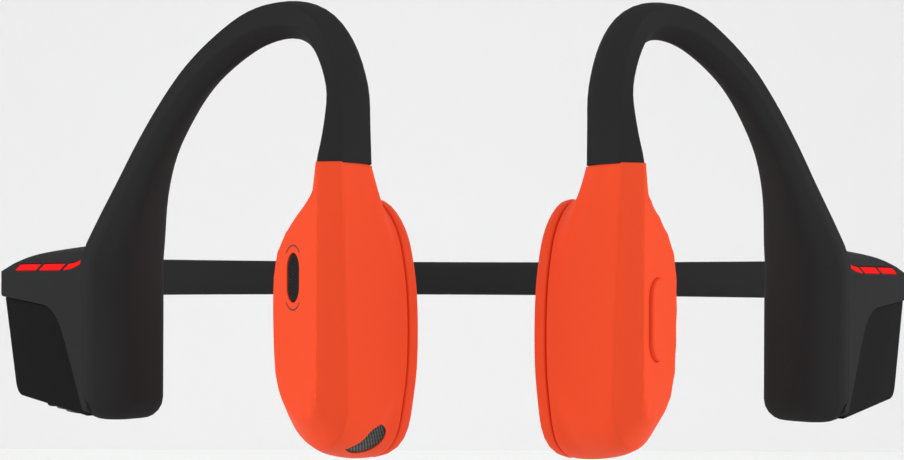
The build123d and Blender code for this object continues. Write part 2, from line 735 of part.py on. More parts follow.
def bevel_plane():
    """Plane of the bevel along the housing's top edge: x forward, y up the bevel."""
    middle = (0, TOP_EDGE + BEVEL_UP / 2, -BEVEL_IN / 2)
    return Plane(origin=middle, x_dir=(1, 0, 0), z_dir=(0, BEVEL_IN, BEVEL_UP))


def light_segment(span, grow):
    """One light guide, sunk into the bevel."""
    length = span[1] - span[0] + 2 * grow
    strip = Pos((span[0] + span[1]) / 2, 0) * Rectangle(length, LIGHT_HEIGHT + 2 * grow)
    return bevel_plane().location * slab(strip, -LIGHT_DEPTH, 0)


def light_pipes():
    """The red light guides of one side, as separate solids."""
    return Compound([light_segment(span, 0) for span in LIGHT_SEGMENTS])


def led_board_solid(grow):
    """Strip board behind the light guides."""
    low, high = LIGHT_SEGMENTS[0][0], LIGHT_SEGMENTS[-1][1]
    strip = Pos((low + high) / 2, 0) * Rectangle(high - low + 2 * grow, LED_BOARD_WIDTH + 2 * grow)
    low = -LIGHT_DEPTH - LED_BOARD_THICKNESS - grow
    return bevel_plane().location * slab(strip, low, grow - LIGHT_DEPTH)


def light_slots():
    """Slots for the light guides and the pocket of their board."""
    cut = led_board_solid(FIT)
    for span in LIGHT_SEGMENTS:
        cut += light_segment(span, FIT)
    return cut


# ---------------------------------------------------------------- underside of the right housing

def foot_plane(height):
    """Plane across the housing's underside: x forward, y out, at a height."""
    return Plane(origin=(0, height, FOOT_MIDDLE), x_dir=(1, 0, 0), z_dir=(0, -1, 0))


def upright(sketch, low, high):
    """Extrude a sketch of the underside between two heights."""
    return extrude(foot_plane(high).location * sketch, high - low, dir=(0, -1, 0))


def port_body(grow):
    """Oblong body of the charging port."""
    outline = Pos(PORT_X, 0) * SlotOverall(PORT_LENGTH + 2 * grow, PORT_WIDTH + 2 * grow)
    return upright(outline, PORT_FACE, PORT_BACK)


def charge_port():
    """Charging port: oblong body, flange inside the case and raised contact pad."""
    body = fillet(port_body(0).faces().sort_by(Axis.Y)[0].edges(), 0.3)
    flange = Pos(PORT_X, 0) * SlotOverall(PORT_LENGTH + 0.8, PORT_WIDTH + 0.3)
    body += upright(flange, PORT_BACK, PORT_BACK + PORT_FLANGE)
    pad = Pos(PORT_X, 0) * SlotOverall(PORT_PAD[0], PORT_PAD[1])
    body += upright(pad, PORT_FACE - PORT_PAD[2], PORT_FACE)
    return body - charge_contacts_solid()


def charge_contacts_solid():
    """The contact pins, flush with the pad and standing proud inside."""
    pins = Part()
    for index in range(CONTACTS):
        x = PORT_X + (index - (CONTACTS - 1) / 2) * CONTACT_PITCH
        pins += upright(Pos(x, 0) * Circle(CONTACT_RADIUS), PORT_FACE - PORT_PAD[2],
                        PORT_BACK + PORT_FLANGE + 0.2)
    return pins


def volume_cap(name, grow, lift):
    """Oblong cap of a volume button with its retaining flange."""
    x, length = VOLUME_BUTTONS[name]
    top = CASE_Y[0] - VOLUME_BUTTON_TRAVEL - FIT + lift
    cap = upright(Pos(x, 0) * SlotOverall(length + 2 * grow, VOLUME_BUTTON_WIDTH + 2 * grow),
                  VOLUME_FACE, top)
    flange = Pos(x, 0) * SlotOverall(length + FLANGE_EXTRA + 2 * grow,
                                     VOLUME_BUTTON_WIDTH + FLANGE_EXTRA + 2 * grow)
    return cap + upright(flange, top - lift - FLANGE_THICKNESS - grow, top)


def volume_stem(name, grow, high):
    """Stem of a volume button, or its bore through the case's wall, up to a height."""
    circle = Pos(SWITCH_X[name], STEM_OUT) * Circle(STEM_RADIUS + grow)
    return upright(circle, CASE_Y[0] - VOLUME_BUTTON_TRAVEL - STEM_ROOT, high)


def stem_top():
    """Height of a stem's end, one travel below the switch."""
    return SWITCH_TIP - VOLUME_BUTTON_TRAVEL - 0.02


def volume_button(name):
    """A volume button: cap, flange and stem."""
    cap = volume_cap(name, 0, 0)
    cap = fillet(cap.faces().sort_by(Axis.Y)[0].edges(), 0.4)
    return cap + volume_stem(name, 0, stem_top())


def port_openings():
    """Openings in the soft skin for the port and the buttons."""
    cut = port_body(FIT)
    for name in VOLUME_BUTTONS:
        cut += volume_cap(name, SLIDE, VOLUME_BUTTON_TRAVEL + FIT)
    return cut


def main_board():
    """Main circuit board with its chips."""
    x = (CASE_X[0] + CASE_X[1]) / 2
    y = BOARD_LEVEL
    low = board_low()
    board = Pos(x, y, low + BOARD_SIZE[2] / 2) * Box(*BOARD_SIZE)
    for dx, dy, length, width, height in CHIPS:
        board += Pos(x + dx, y + dy, low + BOARD_SIZE[2] + height / 2) * Box(length, width, height)
    for spot in SCREW_SPOTS:
        board -= disc(spot, SCREW_RADIUS + FIT, low, low + BOARD_SIZE[2])
    return board


def volume_switches():
    """Side-push switches on the lower edge of the main board."""
    low = board_low() + BOARD_SIZE[2]
    switches = []
    for name in VOLUME_BUTTONS:
        x = SWITCH_X[name]
        body = block((x - 1.2, x + 1.2), (SWITCH_TIP + 0.4, SWITCH_TIP + 1.7), (low, low + 1.5))
        tip = block((x - 0.6, x + 0.6), (SWITCH_TIP, SWITCH_TIP + 0.4), (low + 0.3, low + 1.2))
        switches.append(body + tip)
    return Compound(switches)


def board_screws():
    """Screws that hold the main board on its bosses."""
    high = board_low() + BOARD_SIZE[2]
    screws = []
    for spot in SCREW_SPOTS:
        shank = disc(spot, SCREW_RADIUS - FIT, board_low() - SCREW_BOSS_HEIGHT + 0.4, high)
        screws.append(shank + disc(spot, SCREW_RADIUS * 1.9, high, high + 0.5))
    return Compound(screws)


def battery():
    """Flat battery cell on its foam pad."""
    low = case_floor() + FOAM_THICKNESS
    x = (CASE_X[0] + CASE_X[1]) / 2
    cell = Pos(x, BOARD_LEVEL, low + BATTERY_SIZE[2] / 2) * Box(*BATTERY_SIZE)
    return fillet(cell.edges().filter_by(Axis.Z), 0.8)


def battery_foam():
    """Foam pad under the battery."""
    low = case_floor()
    x = (CASE_X[0] + CASE_X[1]) / 2
    return Pos(x, BOARD_LEVEL, low + FOAM_THICKNESS / 2) * Box(
        BATTERY_SIZE[0] - 1, BATTERY_SIZE[1] - 1, FOAM_THICKNESS)


def battery_board():
    """Protection board on the battery."""
    low = case_floor() + FOAM_THICKNESS + BATTERY_SIZE[2]
    x = (CASE_X[0] + CASE_X[1]) / 2
    y = BOARD_LEVEL + BATTERY_SIZE[1] / 2 - 2
    return Pos(x, y, low + 0.25) * Box(BATTERY_SIZE[0] - 3, 3, 0.5)


def arm_overmold(side, hook, inside):
    """Soft skin moulded over the wire, the cable and the case, from pod to neckband."""
    housing = housing_form()
    housing -= light_slots()
    if side == "right":
        housing -= port_openings()
    body = placed(housing, HOUSING) + hook
    body -= placed(cover_blank(0, CASE_TOP, 1), HOUSING)
    body -= placed(case_form(), HOUSING)
    for piece in inside:
        body -= piece
    return body


# ---------------------------------------------------------------- neckband

def band_path(tail):
    """Centre line of the band from the left housing round to the right one."""
    half = math.radians(BACK_SWEEP)
    total = math.radians(BACK_SWEEP + SIDE_SWEEP)
    centre = Vector(0, BAND_BACK - BACK_RADIUS)
    meet = Vector(BACK_RADIUS * math.sin(half), centre.Y + BACK_RADIUS * math.cos(half))
    pivot = meet - Vector(math.sin(half), math.cos(half)) * SIDE_RADIUS
    end = pivot + Vector(math.sin(total), math.cos(total)) * SIDE_RADIUS
    heading = Vector(math.cos(total), -math.sin(total))
    last = end + heading * tail
    mean = (half + total) / 2
    side_mid = pivot + Vector(math.sin(mean), math.cos(mean)) * SIDE_RADIUS

    def flip(point):
        return (-point.X, point.Y)

    back = ThreePointArc((meet.X, meet.Y), (0, BAND_BACK), flip(meet))
    left = ThreePointArc((end.X, end.Y), (side_mid.X, side_mid.Y), (meet.X, meet.Y))
    right = ThreePointArc(flip(meet), flip(side_mid), flip(end))
    first_line = Line((last.X, last.Y), (end.X, end.Y))
    last_line = Line(flip(end), flip(last))
    return Wire([first_line, left, back, right, last_line])


def band_section(tail):
    """Plane across the band at its left end."""
    path = band_path(tail)
    start = path @ 0
    return Plane(origin=(start.X, start.Y, LEVEL), x_dir=(0, 0, 1), z_dir=path % 0)


def band_sweep(sketch, tail):
    """Sweep a sketch (x up, y across) along the band."""
    path = Pos(0, 0, LEVEL) * band_path(tail)
    return sweep(band_section(tail).location * sketch, path=path)


def band_outline(grow):
    """Section of the band: upright, with a soft ridge on both sides."""
    return RectangleRounded(BAND_HEIGHT + 2 * grow, BAND_THICKNESS + 2 * grow,
                            BAND_THICKNESS / 2 - 0.2 + grow)


def neckband_core():
    """Springy wire inside the band, longer than the sleeve at both ends."""
    return band_sweep(Pos(BAND_PITCH, 0) * Circle(BAND_CORE_RADIUS), BAND_TAIL + BAND_REACH)


def neckband_cable():
    """Cable inside the band that joins the two housings."""
    return band_sweep(Pos(-BAND_PITCH, 0) * Circle(BAND_CABLE_RADIUS), BAND_TAIL + BAND_REACH)


def neckband_sleeve():
    """Soft sleeve of the band round its wire and cable."""
    sleeve = band_sweep(band_outline(0), BAND_TAIL)
    bores = band_sweep(Pos(BAND_PITCH, 0) * Circle(BAND_CORE_RADIUS + FIT), BAND_TAIL + 1)
    bores += band_sweep(Pos(-BAND_PITCH, 0) * Circle(BAND_CABLE_RADIUS + FIT), BAND_TAIL + 1)
    return sleeve - bores


def band_socket():
    """Room in a housing for the ends of sleeve, wire and cable."""
    room = band_sweep(band_outline(BAND_CLEAR), BAND_TAIL + BAND_CLEAR)
    room += band_sweep(Pos(BAND_PITCH, 0) * Circle(BAND_CORE_RADIUS + BAND_CLEAR),
                       BAND_TAIL + BAND_REACH + BAND_CLEAR)
    room += band_sweep(Pos(-BAND_PITCH, 0) * Circle(BAND_CABLE_RADIUS + BAND_CLEAR),
                       BAND_TAIL + BAND_REACH + BAND_CLEAR)
    return room


# ---------------------------------------------------------------- assembly

def write_pod(side, wires):
    """Write the pod's pieces for one side."""
    save_side(pod_shell(side, wires), "pod_shell", side)
    for make in (skin_pad, vibration_panel, leaf_spring, voice_coil, transducer_yoke,
                 transducer_magnet, pole_plate):
        save_side(placed(make(), POD), make.__name__, side)


def write_arm(side, hook, core, cable, socket):
    """Write the hook's and the housing's pieces for one side."""
    wires = [core, cable, socket]
    save_side(arm_overmold(side, hook, wires), "arm_overmold", side)
    save_side(core, "hook_core", side)
    save_side(cable, "hook_cable", side)
    save_side(case(side, wires), "case", side)
    for make in (side_cover, cover_gasket, light_pipes):
        save_side(placed(make(), HOUSING), make.__name__, side)
    save_side(placed(led_board_solid(0), HOUSING), "led_board", side)


def main():
    """Build every sub-part."""
    os.makedirs("parts", exist_ok=True)
    hook = hook_form()
    core = hook_core()
    cable = hook_cable()
    socket = band_socket()
    wires = core + cable
    for side in ("right", "left"):
        write_pod(side, wires)
        write_arm(side, hook, core, cable, socket)
    for make in (mic_mesh, mic_gasket, mic_capsule, mic_board, port_mesh):
        save(placed(make(), POD), make.__name__)
    for make in (multifunction_button, multifunction_switch, multifunction_board):
        save(mirror(placed(make(), POD), about=Plane.YZ), make.__name__)
    for name in VOLUME_BUTTONS:
        save(placed(volume_button(name), HOUSING), f"{name}_button")
    save(placed(charge_contacts_solid(), HOUSING), "charge_contacts")
    for make in (charge_port, main_board, volume_switches, board_screws):
        save(placed(make(), HOUSING), make.__name__)
    for make in (battery, battery_foam, battery_board):
        save(mirror(placed(make(), HOUSING), about=Plane.YZ), make.__name__)
    for make in (neckband_sleeve, neckband_core, neckband_cable):
        save(make(), make.__name__)


if __name__ == "__main__":
    main()
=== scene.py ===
"""Bone conduction headphones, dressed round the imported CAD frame.

Two ear hooks carry a transducer pod in front and a housing behind, and a flat spring neckband joins
them. The sizes of the headphones are millimetres; origins, grains, reliefs and the studio are metres.
The frame of the CAD has +X to the wearer's left, +Y to the back and +Z up, in metres.
"""

import json
import logging
import math
from dataclasses import dataclass
from enum import Enum
from typing import Callable, Iterable, Sequence, Union

import bmesh
import bpy
from mathutils import Matrix, Vector

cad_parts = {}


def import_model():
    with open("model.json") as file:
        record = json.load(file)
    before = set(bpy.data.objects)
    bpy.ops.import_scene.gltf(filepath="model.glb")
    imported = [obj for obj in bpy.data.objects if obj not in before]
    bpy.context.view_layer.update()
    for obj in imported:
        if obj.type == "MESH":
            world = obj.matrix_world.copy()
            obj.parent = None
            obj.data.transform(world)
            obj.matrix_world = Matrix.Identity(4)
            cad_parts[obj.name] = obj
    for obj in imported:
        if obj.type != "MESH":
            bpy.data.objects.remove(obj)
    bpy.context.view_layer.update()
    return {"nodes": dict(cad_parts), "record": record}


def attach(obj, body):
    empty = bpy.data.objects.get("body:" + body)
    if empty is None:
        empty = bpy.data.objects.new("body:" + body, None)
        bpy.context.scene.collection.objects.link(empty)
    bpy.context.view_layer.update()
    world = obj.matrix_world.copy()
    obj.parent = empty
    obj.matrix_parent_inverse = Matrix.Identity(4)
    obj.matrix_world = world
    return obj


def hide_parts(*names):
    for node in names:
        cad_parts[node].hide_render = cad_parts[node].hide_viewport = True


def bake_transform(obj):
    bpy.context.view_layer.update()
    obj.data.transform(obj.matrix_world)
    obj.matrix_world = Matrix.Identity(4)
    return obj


LOG = logging.getLogger("headphones")
MM = 0.001
# the right side's origins: the middle of the pod, and the housing's front crease at the band's level
POD_CENTRE = Vector((-0.0159, -0.0451, 0.0156))
HOUSING_CREASE = Vector((-0.0465, -0.0330, 0.0213))
SMOOTH_ANGLE = math.radians(30)
# the Mix node's sockets for a blend of colours: its factor and its two colours
MIX_INPUTS = (0, 6, 7)
MIX_RESULT = 2

Colour = tuple[float, float, float]
Pair = tuple[float, float]
Point = tuple[float, float, float]
Ring = Sequence[Point]
Outline = Sequence[Pair]
Place = Callable[[float, float, float], Vector]
Operand = Union["Value", float]


def linear(red: int, green: int, blue: int) -> Colour:
    """Return the linear colour of three display values from 0 to 255."""
    shares = [value / 255 for value in (red, green, blue)]
    bent = [s / 12.92 if s <= 0.04045 else ((s + 0.055) / 1.055) ** 2.4 for s in shares]
    return (bent[0], bent[1], bent[2])


class Side(Enum):
    """The wearer's side, with the sign of its X."""

    RIGHT = -1
    LEFT = 1

    @property
    def word(self) -> str:
        """The word that starts the names of this side's pieces."""
        return self.name.lower()


# ------------ shader graph


class Value:
    """A number in a shader graph that is used like a Python number."""

    def __init__(self, graph: "Graph", socket: bpy.types.NodeSocket) -> None:
        """Wrap one output socket of the graph."""
        self.graph = graph
        self.socket = socket

    def _math(self, operation: str, *operands: Operand) -> "Value":
        """Return the result of a Math node."""
        return self.graph.add("ShaderNodeMath", operands, operation=operation)

    def __add__(self, other: Operand) -> "Value":
        """Sum."""
        return self._math("ADD", self, other)

    __radd__ = __add__

    def __sub__(self, other: Operand) -> "Value":
        """Difference."""
        return self._math("SUBTRACT", self, other)

    def __rsub__(self, other: float) -> "Value":
        """Difference with a number on the left."""
        return self._math("SUBTRACT", other, self)

    def __mul__(self, other: Operand) -> "Value":
        """Product."""
        return self._math("MULTIPLY", self, other)

    def wave(self) -> "Value":
        """Return the sine."""
        return self._math("SINE", self)


class Graph:
    """A material's node tree with one Principled shader."""

    def __init__(self, name: str) -> None:
        """Make an empty material of this name with its shader."""
        self.material = bpy.data.materials.new(name)
        self.material.use_nodes = True
        self.tree = self.material.node_tree
        self.shader = next(n for n in self.tree.nodes if n.type == "BSDF_PRINCIPLED")
        self._place: bpy.types.NodeSocket | None = None

    def add(self, kind: str, inputs: Sequence = (), output: int | str = 0, **settings: object) -> Value:
        """Add a node.

        Args:
            kind: the node's type.
            inputs: numbers or links for its sockets in order.
            output: which output to return.
            settings: the node's own settings, set before its sockets.

        Returns:
            The chosen output.
        """
        node = self.tree.nodes.new(kind)
        for key, value in settings.items():
            setattr(node, key, value)
        sockets = [s for s in node.inputs if s.enabled]
        for socket, value in zip(sockets, inputs):
            self._feed(socket, value)
        return Value(self, node.outputs[output])

    def _feed(self, socket: bpy.types.NodeSocket, value: object) -> None:
        """Give a socket a link, a number or a colour."""
        if isinstance(value, Value):
            self.tree.links.new(value.socket, socket)
        elif socket.type == "RGBA" and len(value) == 3:
            socket.default_value = (*value, 1.0)
        else:
            socket.default_value = value

    def set(self, **sockets: object) -> None:
        """Set the shader's sockets, named with underscores, to numbers, colours or Values."""
        for key, value in sockets.items():
            self._feed(self.shader.inputs[key.replace("_", " ")], value)

    @property
    def place(self) -> Value:
        """The point on the surface, in metres."""
        if self._place is None:
            self._place = self.add("ShaderNodeTexCoord", output="Object").socket
        return Value(self, self._place)

    def axes(self) -> tuple[Value, Value, Value]:
        """Return the point's X, Y and Z."""
        node = self.tree.nodes.new("ShaderNodeSeparateXYZ")
        self.tree.links.new(self.place.socket, node.inputs[0])
        return tuple(Value(self, output) for output in node.outputs)

    def noise(self, size: float, detail: float = 2.0, roughness: float = 0.5) -> Value:
        """Return soft noise whose grains are about size metres across."""
        return self.add("ShaderNodeTexNoise", [self.place, 1 / size, detail, roughness], output="Fac")

    def blend(self, share: Value, low: Colour, high: Colour) -> Value:
        """Return a colour between two, by share."""
        node = self.tree.nodes.new("ShaderNodeMix")
        node.data_type = "RGBA"
        for index, value in zip(MIX_INPUTS, (share, low, high)):
            self._feed(node.inputs[index], value)
        return Value(self, node.outputs[MIX_RESULT])

    def bump(self, height: Value, depth: float) -> None:
        """Feed the shader's Normal from a height.

        Args:
            height: the relief, from 0 to 1.
            depth: how deep the relief is, in metres.
        """
        node = self.tree.nodes.new("ShaderNodeBump")
        node.inputs["Strength"].default_value = 1.0
        node.inputs["Distance"].default_value = depth
        self.tree.links.new(height.socket, node.inputs["Height"])
        self.tree.links.new(node.outputs[0], self.shader.inputs["Normal"])


# ------------ finishes


@dataclass(frozen=True)
class MouldedFinish:
    """Moulded silicone, rubber or plastic: a fine grain, and soft clouds that darken it to a shade."""

    name: str
    colour: Colour
    shade: float = 0.9
    roughness: float = 0.5
    spread: float = 0.08
    grain: float = 0.00012
    relief: float = 0.000012
    coat: float = 0.0
    coat_roughness: float = 0.25
    specular: float = 0.5
    cloud: float = 0.009

    def build(self) -> bpy.types.Material:
        """Return the material."""
        graph = Graph(self.name)
        cloud = graph.noise(self.cloud, detail=3.0)
        grain = graph.noise(self.grain, detail=2.0, roughness=0.6)
        dark = tuple(part * self.shade for part in self.colour)
        graph.set(Base_Color=graph.blend(cloud, dark, self.colour),
                  Roughness=self.roughness + (cloud - 0.5) * self.spread + (grain - 0.5) * self.spread,
                  Specular_IOR_Level=self.specular, Coat_Weight=self.coat,
                  Coat_Roughness=self.coat_roughness)
        graph.bump(grain, self.relief)
        return graph.material


@dataclass(frozen=True)
class MetalFinish:
    """Bare or plated metal with fine drawing marks."""

    name: str
    colour: Colour
    roughness: float = 0.32
    marks: float = 0.0002
    shade: float = 0.8
    spread: float = 0.15
    relief: float = 0.000006

    def build(self) -> bpy.types.Material:
        """Return the material."""
        graph = Graph(self.name)
        marks = graph.noise(self.marks, detail=4.0, roughness=0.7)
        dark = tuple(part * self.shade for part in self.colour)
        graph.set(Base_Color=graph.blend(marks, dark, self.colour), Metallic=1.0,
                  Roughness=self.roughness + (marks - 0.5) * self.spread)
        graph.bump(marks, self.relief)
        return graph.material


@dataclass(frozen=True)
class MeshFinish:
    """Dark woven mesh: slanted ribs, crossed by finer ones."""

    name: str
    dark: Colour
    light: Colour
    pitch: float = 0.00028
    rib: Point = (0.8, 0.3, 0.55)
    cross: Point = (-0.3, 0.2, 0.9)
    cross_share: float = 0.4
    relief: float = 0.00004

    def build(self) -> bpy.types.Material:
        """Return the material."""
        graph = Graph(self.name)
        x, y, z = graph.axes()
        waves = []
        for heading in (self.rib, self.cross):
            run = x * heading[0] + y * heading[1] + z * heading[2]
            waves.append((run * (2 * math.pi / self.pitch)).wave() * 0.5 + 0.5)
        weave = waves[0] * (waves[1] * self.cross_share + (1 - self.cross_share))
        graph.set(Base_Color=graph.blend(weave, self.dark, self.light), Roughness=0.5 - weave * 0.1,
                  Metallic=0.3, Specular_IOR_Level=0.2)
        graph.bump(weave, self.relief)
        return graph.material


@dataclass(frozen=True)
class LightFinish:
    """Red moulded light pipe, lit from behind."""

    name: str
    colour: Colour
    glow: float = 0.3
    shade: float = 0.85

    def build(self) -> bpy.types.Material:
        """Return the material."""
        graph = Graph(self.name)
        cloud = graph.noise(0.004, detail=1.0)
        dark = tuple(part * self.shade for part in self.colour)
        lit = graph.blend(cloud, dark, self.colour)
        graph.set(Base_Color=lit, Emission_Color=lit, Emission_Strength=self.glow, Roughness=0.3,
                  Specular_IOR_Level=0.0)
        return graph.material


FINISHES = (
    MouldedFinish("orange_silicone", linear(255, 84, 46), 0.97, 0.55, 0.06, specular=0.07),
    MouldedFinish("black_silicone", linear(48, 48, 49), 0.9, 0.6, 0.1, specular=0.015),
    MouldedFinish("mark", linear(122, 38, 40), 0.95, 0.5, 0.06),
    MouldedFinish("black_cover", linear(24, 24, 25), 0.9, 0.5, 0.08, grain=0.00008, specular=0.01),
    MouldedFinish("black_plastic", linear(32, 32, 34)),
    MouldedFinish("gasket", linear(28, 28, 30), roughness=0.7),
    MouldedFinish("foam", linear(50, 50, 52), 0.6, 0.9, 0.05, 0.0004, 0.0001),
    MouldedFinish("cable_jacket", linear(60, 60, 64)),
    MouldedFinish("circuit_board", linear(20, 88, 52), 0.8, 0.35, coat=0.3),
    LightFinish("red_light_pipe", linear(235, 34, 34)),
    MeshFinish("steel_mesh", linear(9, 10, 10), linear(26, 27, 28), 0.00022),
    MeshFinish("vent_mesh", linear(10, 12, 12), linear(96, 98, 98), 0.00034),
    MetalFinish("steel_spring", (0.56, 0.56, 0.57), 0.3),
    MetalFinish("titanium_wire", (0.48, 0.46, 0.44), 0.35),
    MetalFinish("magnet", (0.60, 0.60, 0.61), 0.15),
    MetalFinish("copper_coil", (0.75, 0.34, 0.17), 0.3),
    MetalFinish("gold_contact", (0.86, 0.62, 0.24), 0.2),
    MetalFinish("component", (0.40, 0.41, 0.42), 0.4),
    MetalFinish("battery_foil", (0.62, 0.63, 0.65), 0.3, 0.0008),
)


class Palette:
    """Every finish of the headphones, each built once."""

    def __init__(self) -> None:
        """List the finishes by name."""
        self.finishes = {finish.name: finish for finish in FINISHES}
        self.built: dict[str, bpy.types.Material] = {}

    def material(self, name: str) -> bpy.types.Material:
        """Return the material of a finish, building it the first time."""
        if name not in self.built:
            self.built[name] = self.finishes[name].build()
        return self.built[name]


# ------------ workshop


def clear() -> None:
    """Leave edit mode and deselect everything."""
    if bpy.context.object and bpy.context.object.mode == "EDIT":
        bpy.ops.object.mode_set(mode="OBJECT")
    bpy.ops.object.select_all(action="DESELECT")


@dataclass(frozen=True)
class SideFrame:
    """A frame on one side of the head: x forward, y up, z outward, in millimetres."""

    side: Side
    origin: Vector
    toe_in: float = math.radians(35)

    def at(self, x: float, y: float, z: float) -> Vector:
        """Return a point of this frame in the frame of the CAD, in metres."""
        forward = Vector((math.sin(self.toe_in), -math.cos(self.toe_in), 0))
        outward = Vector((-math.cos(self.toe_in), -math.sin(self.toe_in), 0))
        place = self.origin + (forward * x + outward * z + Vector((0, 0, y))) * MM
        return Vector((-self.side.value * place.x, place.y, place.z))


class Merge(Enum):
    """What Blender's boolean does with a second piece."""

    CUT = "DIFFERENCE"
    JOIN = "UNION"
    MEET = "INTERSECT"


class Piece:
    """A mesh that Blender's own tools shape in place."""

    def __init__(self, body: bpy.types.Object, name: str) -> None:
        """Take over an object and rename it."""
        self.body = body
        self.body.name = name
        self.grid: dict[Point, tuple[int, int]] = {}

    @staticmethod
    def _key(place: Vector) -> Point:
        """Return a point as a key, to a hundredth of a micron."""
        return (round(place.x, 8), round(place.y, 8), round(place.z, 8))

    @classmethod
    def loft(cls, name: str, rings: Sequence[Sequence[Vector]]) -> "Piece":
        """Extrude a closed ring from section to section and close both ends.

        Args:
            name: the piece's name.
            rings: the sections, each with as many points.

        Returns:
            The closed piece.
        """
        clear()
        bpy.ops.mesh.primitive_circle_add(vertices=len(rings[0]), radius=1)
        piece = cls(bpy.context.object, name)
        mesh = piece.body.data
        bpy.ops.object.mode_set(mode="EDIT")
        bpy.ops.mesh.select_mode(type="EDGE")
        bpy.ops.mesh.select_all(action="SELECT")
        form = bmesh.from_edit_mesh(mesh)
        for vertex, spot in zip(form.verts, rings[0]):
            vertex.co = spot
        for before, after in zip(rings, rings[1:]):
            bpy.ops.mesh.extrude_region_move()
            form = bmesh.from_edit_mesh(mesh)
            moves = {cls._key(Vector(old)): new for old, new in zip(before, after)}
            for vertex in form.verts:
                if vertex.select:
                    vertex.co = moves[cls._key(vertex.co)]
            bmesh.update_edit_mesh(mesh)
        bpy.ops.mesh.select_all(action="SELECT")
        bpy.ops.mesh.fill_holes(sides=0)
        bpy.ops.mesh.normals_make_consistent(inside=False)
        bpy.ops.object.mode_set(mode="OBJECT")
        piece.grid = {cls._key(Vector(place)): (row, column)
                      for row, ring in enumerate(rings) for column, place in enumerate(ring)}
        return piece

    def crease(self, test: Callable[[tuple[int, int], tuple[int, int]], bool], weight: float) -> "Piece":
        """Crease the edges between grid points that pass a test.

        Args:
            test: takes the (row, column) of both ends.
            weight: the crease, up to 1.

        Returns:
            This piece.
        """
        mesh = self.body.data
        layer = mesh.attributes.get("crease_edge") or mesh.attributes.new("crease_edge", "FLOAT", "EDGE")
        spots = [self.grid.get(self._key(vertex.co)) for vertex in mesh.vertices]
        for edge in mesh.edges:
            first, second = (spots[index] for index in edge.vertices)
            if first and second and test(first, second):
                layer.data[edge.index].value = weight
        return self

    def _pick(self) -> None:
        """Select this piece alone."""
        clear()
        self.body.select_set(True)
        bpy.context.view_layer.objects.active = self.body

    def apply(self, kind: str, **settings: object) -> "Piece":
        """Add a modifier and apply it.

        Args:
            kind: the modifier's type.
            settings: its settings.

        Returns:
            This piece.
        """
        self._pick()
        modifier = self.body.modifiers.new("work", kind)
        for key, value in settings.items():
            setattr(modifier, key, value)
        bpy.ops.object.modifier_apply(modifier="work")
        return self

    def smooth(self, levels: int) -> "Piece":
        """Subdivide the cage into a smooth surface."""
        return self.apply("SUBSURF", levels=levels, render_levels=levels)

    def round(self, width: float, angle: float = 30) -> "Piece":
        """Round the edges sharper than an angle in degrees, by a width in millimetres."""
        return self.apply("BEVEL", width=width * MM, limit_method="ANGLE", angle_limit=math.radians(angle),
                          segments=3, harden_normals=False)

    def twin(self, name: str) -> "Piece":
        """Return a copy of this piece with its own mesh."""
        body = self.body.copy()
        body.data = self.body.data.copy()
        bpy.context.scene.collection.objects.link(body)
        return Piece(body, name)

    def merge(self, how: Merge, tool: "Piece") -> "Piece":
        """Work another piece into this one, and drop it.

        Args:
            how: the way.
            tool: the other piece.

        Returns:
            This piece.
        """
        self.apply("BOOLEAN", operation=how.value, object=tool.body, solver="EXACT")
        bpy.data.objects.remove(tool.body)
        return self

    def cut(self, tool: "Piece") -> "Piece":
        """Cut another piece away."""
        return self.merge(Merge.CUT, tool)

    def join(self, tool: "Piece") -> "Piece":
        """Unite another piece with this one."""
        return self.merge(Merge.JOIN, tool)

    def meet(self, tool: "Piece") -> "Piece":
        """Keep what this piece shares with another."""
        return self.merge(Merge.MEET, tool)

    def finish(self, palette: Palette, slot: str, body: str | None, *nodes: str,
               look: str = "") -> bpy.types.Object:
        """Shade, dress and hang the piece on its body.

        Args:
            palette: the finishes.
            slot: the record's material slot.
            body: the CAD body that it rides on; None leaves the piece unattached.
            nodes: the CAD nodes that it stands for.
            look: the name of its finish, where it isn't the slot's own.

        Returns:
            The finished object.
        """
        self._pick()
        bpy.ops.object.shade_smooth_by_angle(angle=SMOOTH_ANGLE)
        self.apply("WEIGHTED_NORMAL", keep_sharp=True)
        self.body.data.materials.clear()
        self.body.data.materials.append(palette.material(look or slot))
        if body:
            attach(self.body, body)
        if nodes:
            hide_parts(*nodes)
        LOG.info("%s: %d faces on %s", self.body.name, len(self.body.data.polygons), body or "two bodies")
        return self.body


def pill(centre: Pair, along: float, across: float, inset: float = 0.0, upright: bool = True,
         arc: int = 12, point: float = 1.0) -> Outline:
    """Return the outline of a pill.

    Args:
        centre: its centre.
        along: its length.
        across: its width.
        inset: drawn in by this much.
        upright: stands along the second axis, not the first.
        arc: parts of each round end.
        point: how much longer the round ends are than half circles.

    Returns:
        The closed outline.
    """
    radius = across / 2 - inset
    straight = (along - point * across) / 2
    outline = []
    for end in (1, -1):
        for step in range(arc + 1):
            turn = math.pi * (step / arc + (0 if end > 0 else 1))
            short, long = radius * math.cos(turn), end * straight + point * radius * math.sin(turn)
            if not upright:
                short, long = long, -short
            outline.append((centre[0] + short, centre[1] + long))
    return outline


def disc(centre: Pair, radius: float, parts: int = 24) -> Outline:
    """Return a circle's outline."""
    turns = [2 * math.pi * step / parts for step in range(parts)]
    return [(centre[0] + radius * math.cos(turn), centre[1] + radius * math.sin(turn)) for turn in turns]


def box(x_span: Pair, y_span: Pair) -> Outline:
    """Return a rectangle's outline."""
    return [(x_span[0], y_span[0]), (x_span[1], y_span[0]), (x_span[1], y_span[1]), (x_span[0], y_span[1])]


def stack(name: str, place: Place, levels: Iterable[tuple[Outline, float]]) -> Piece:
    """Raise outlines, each with as many points, from level to level."""
    return Piece.loft(name, [[place(x, y, level) for x, y in outline] for outline, level in levels])


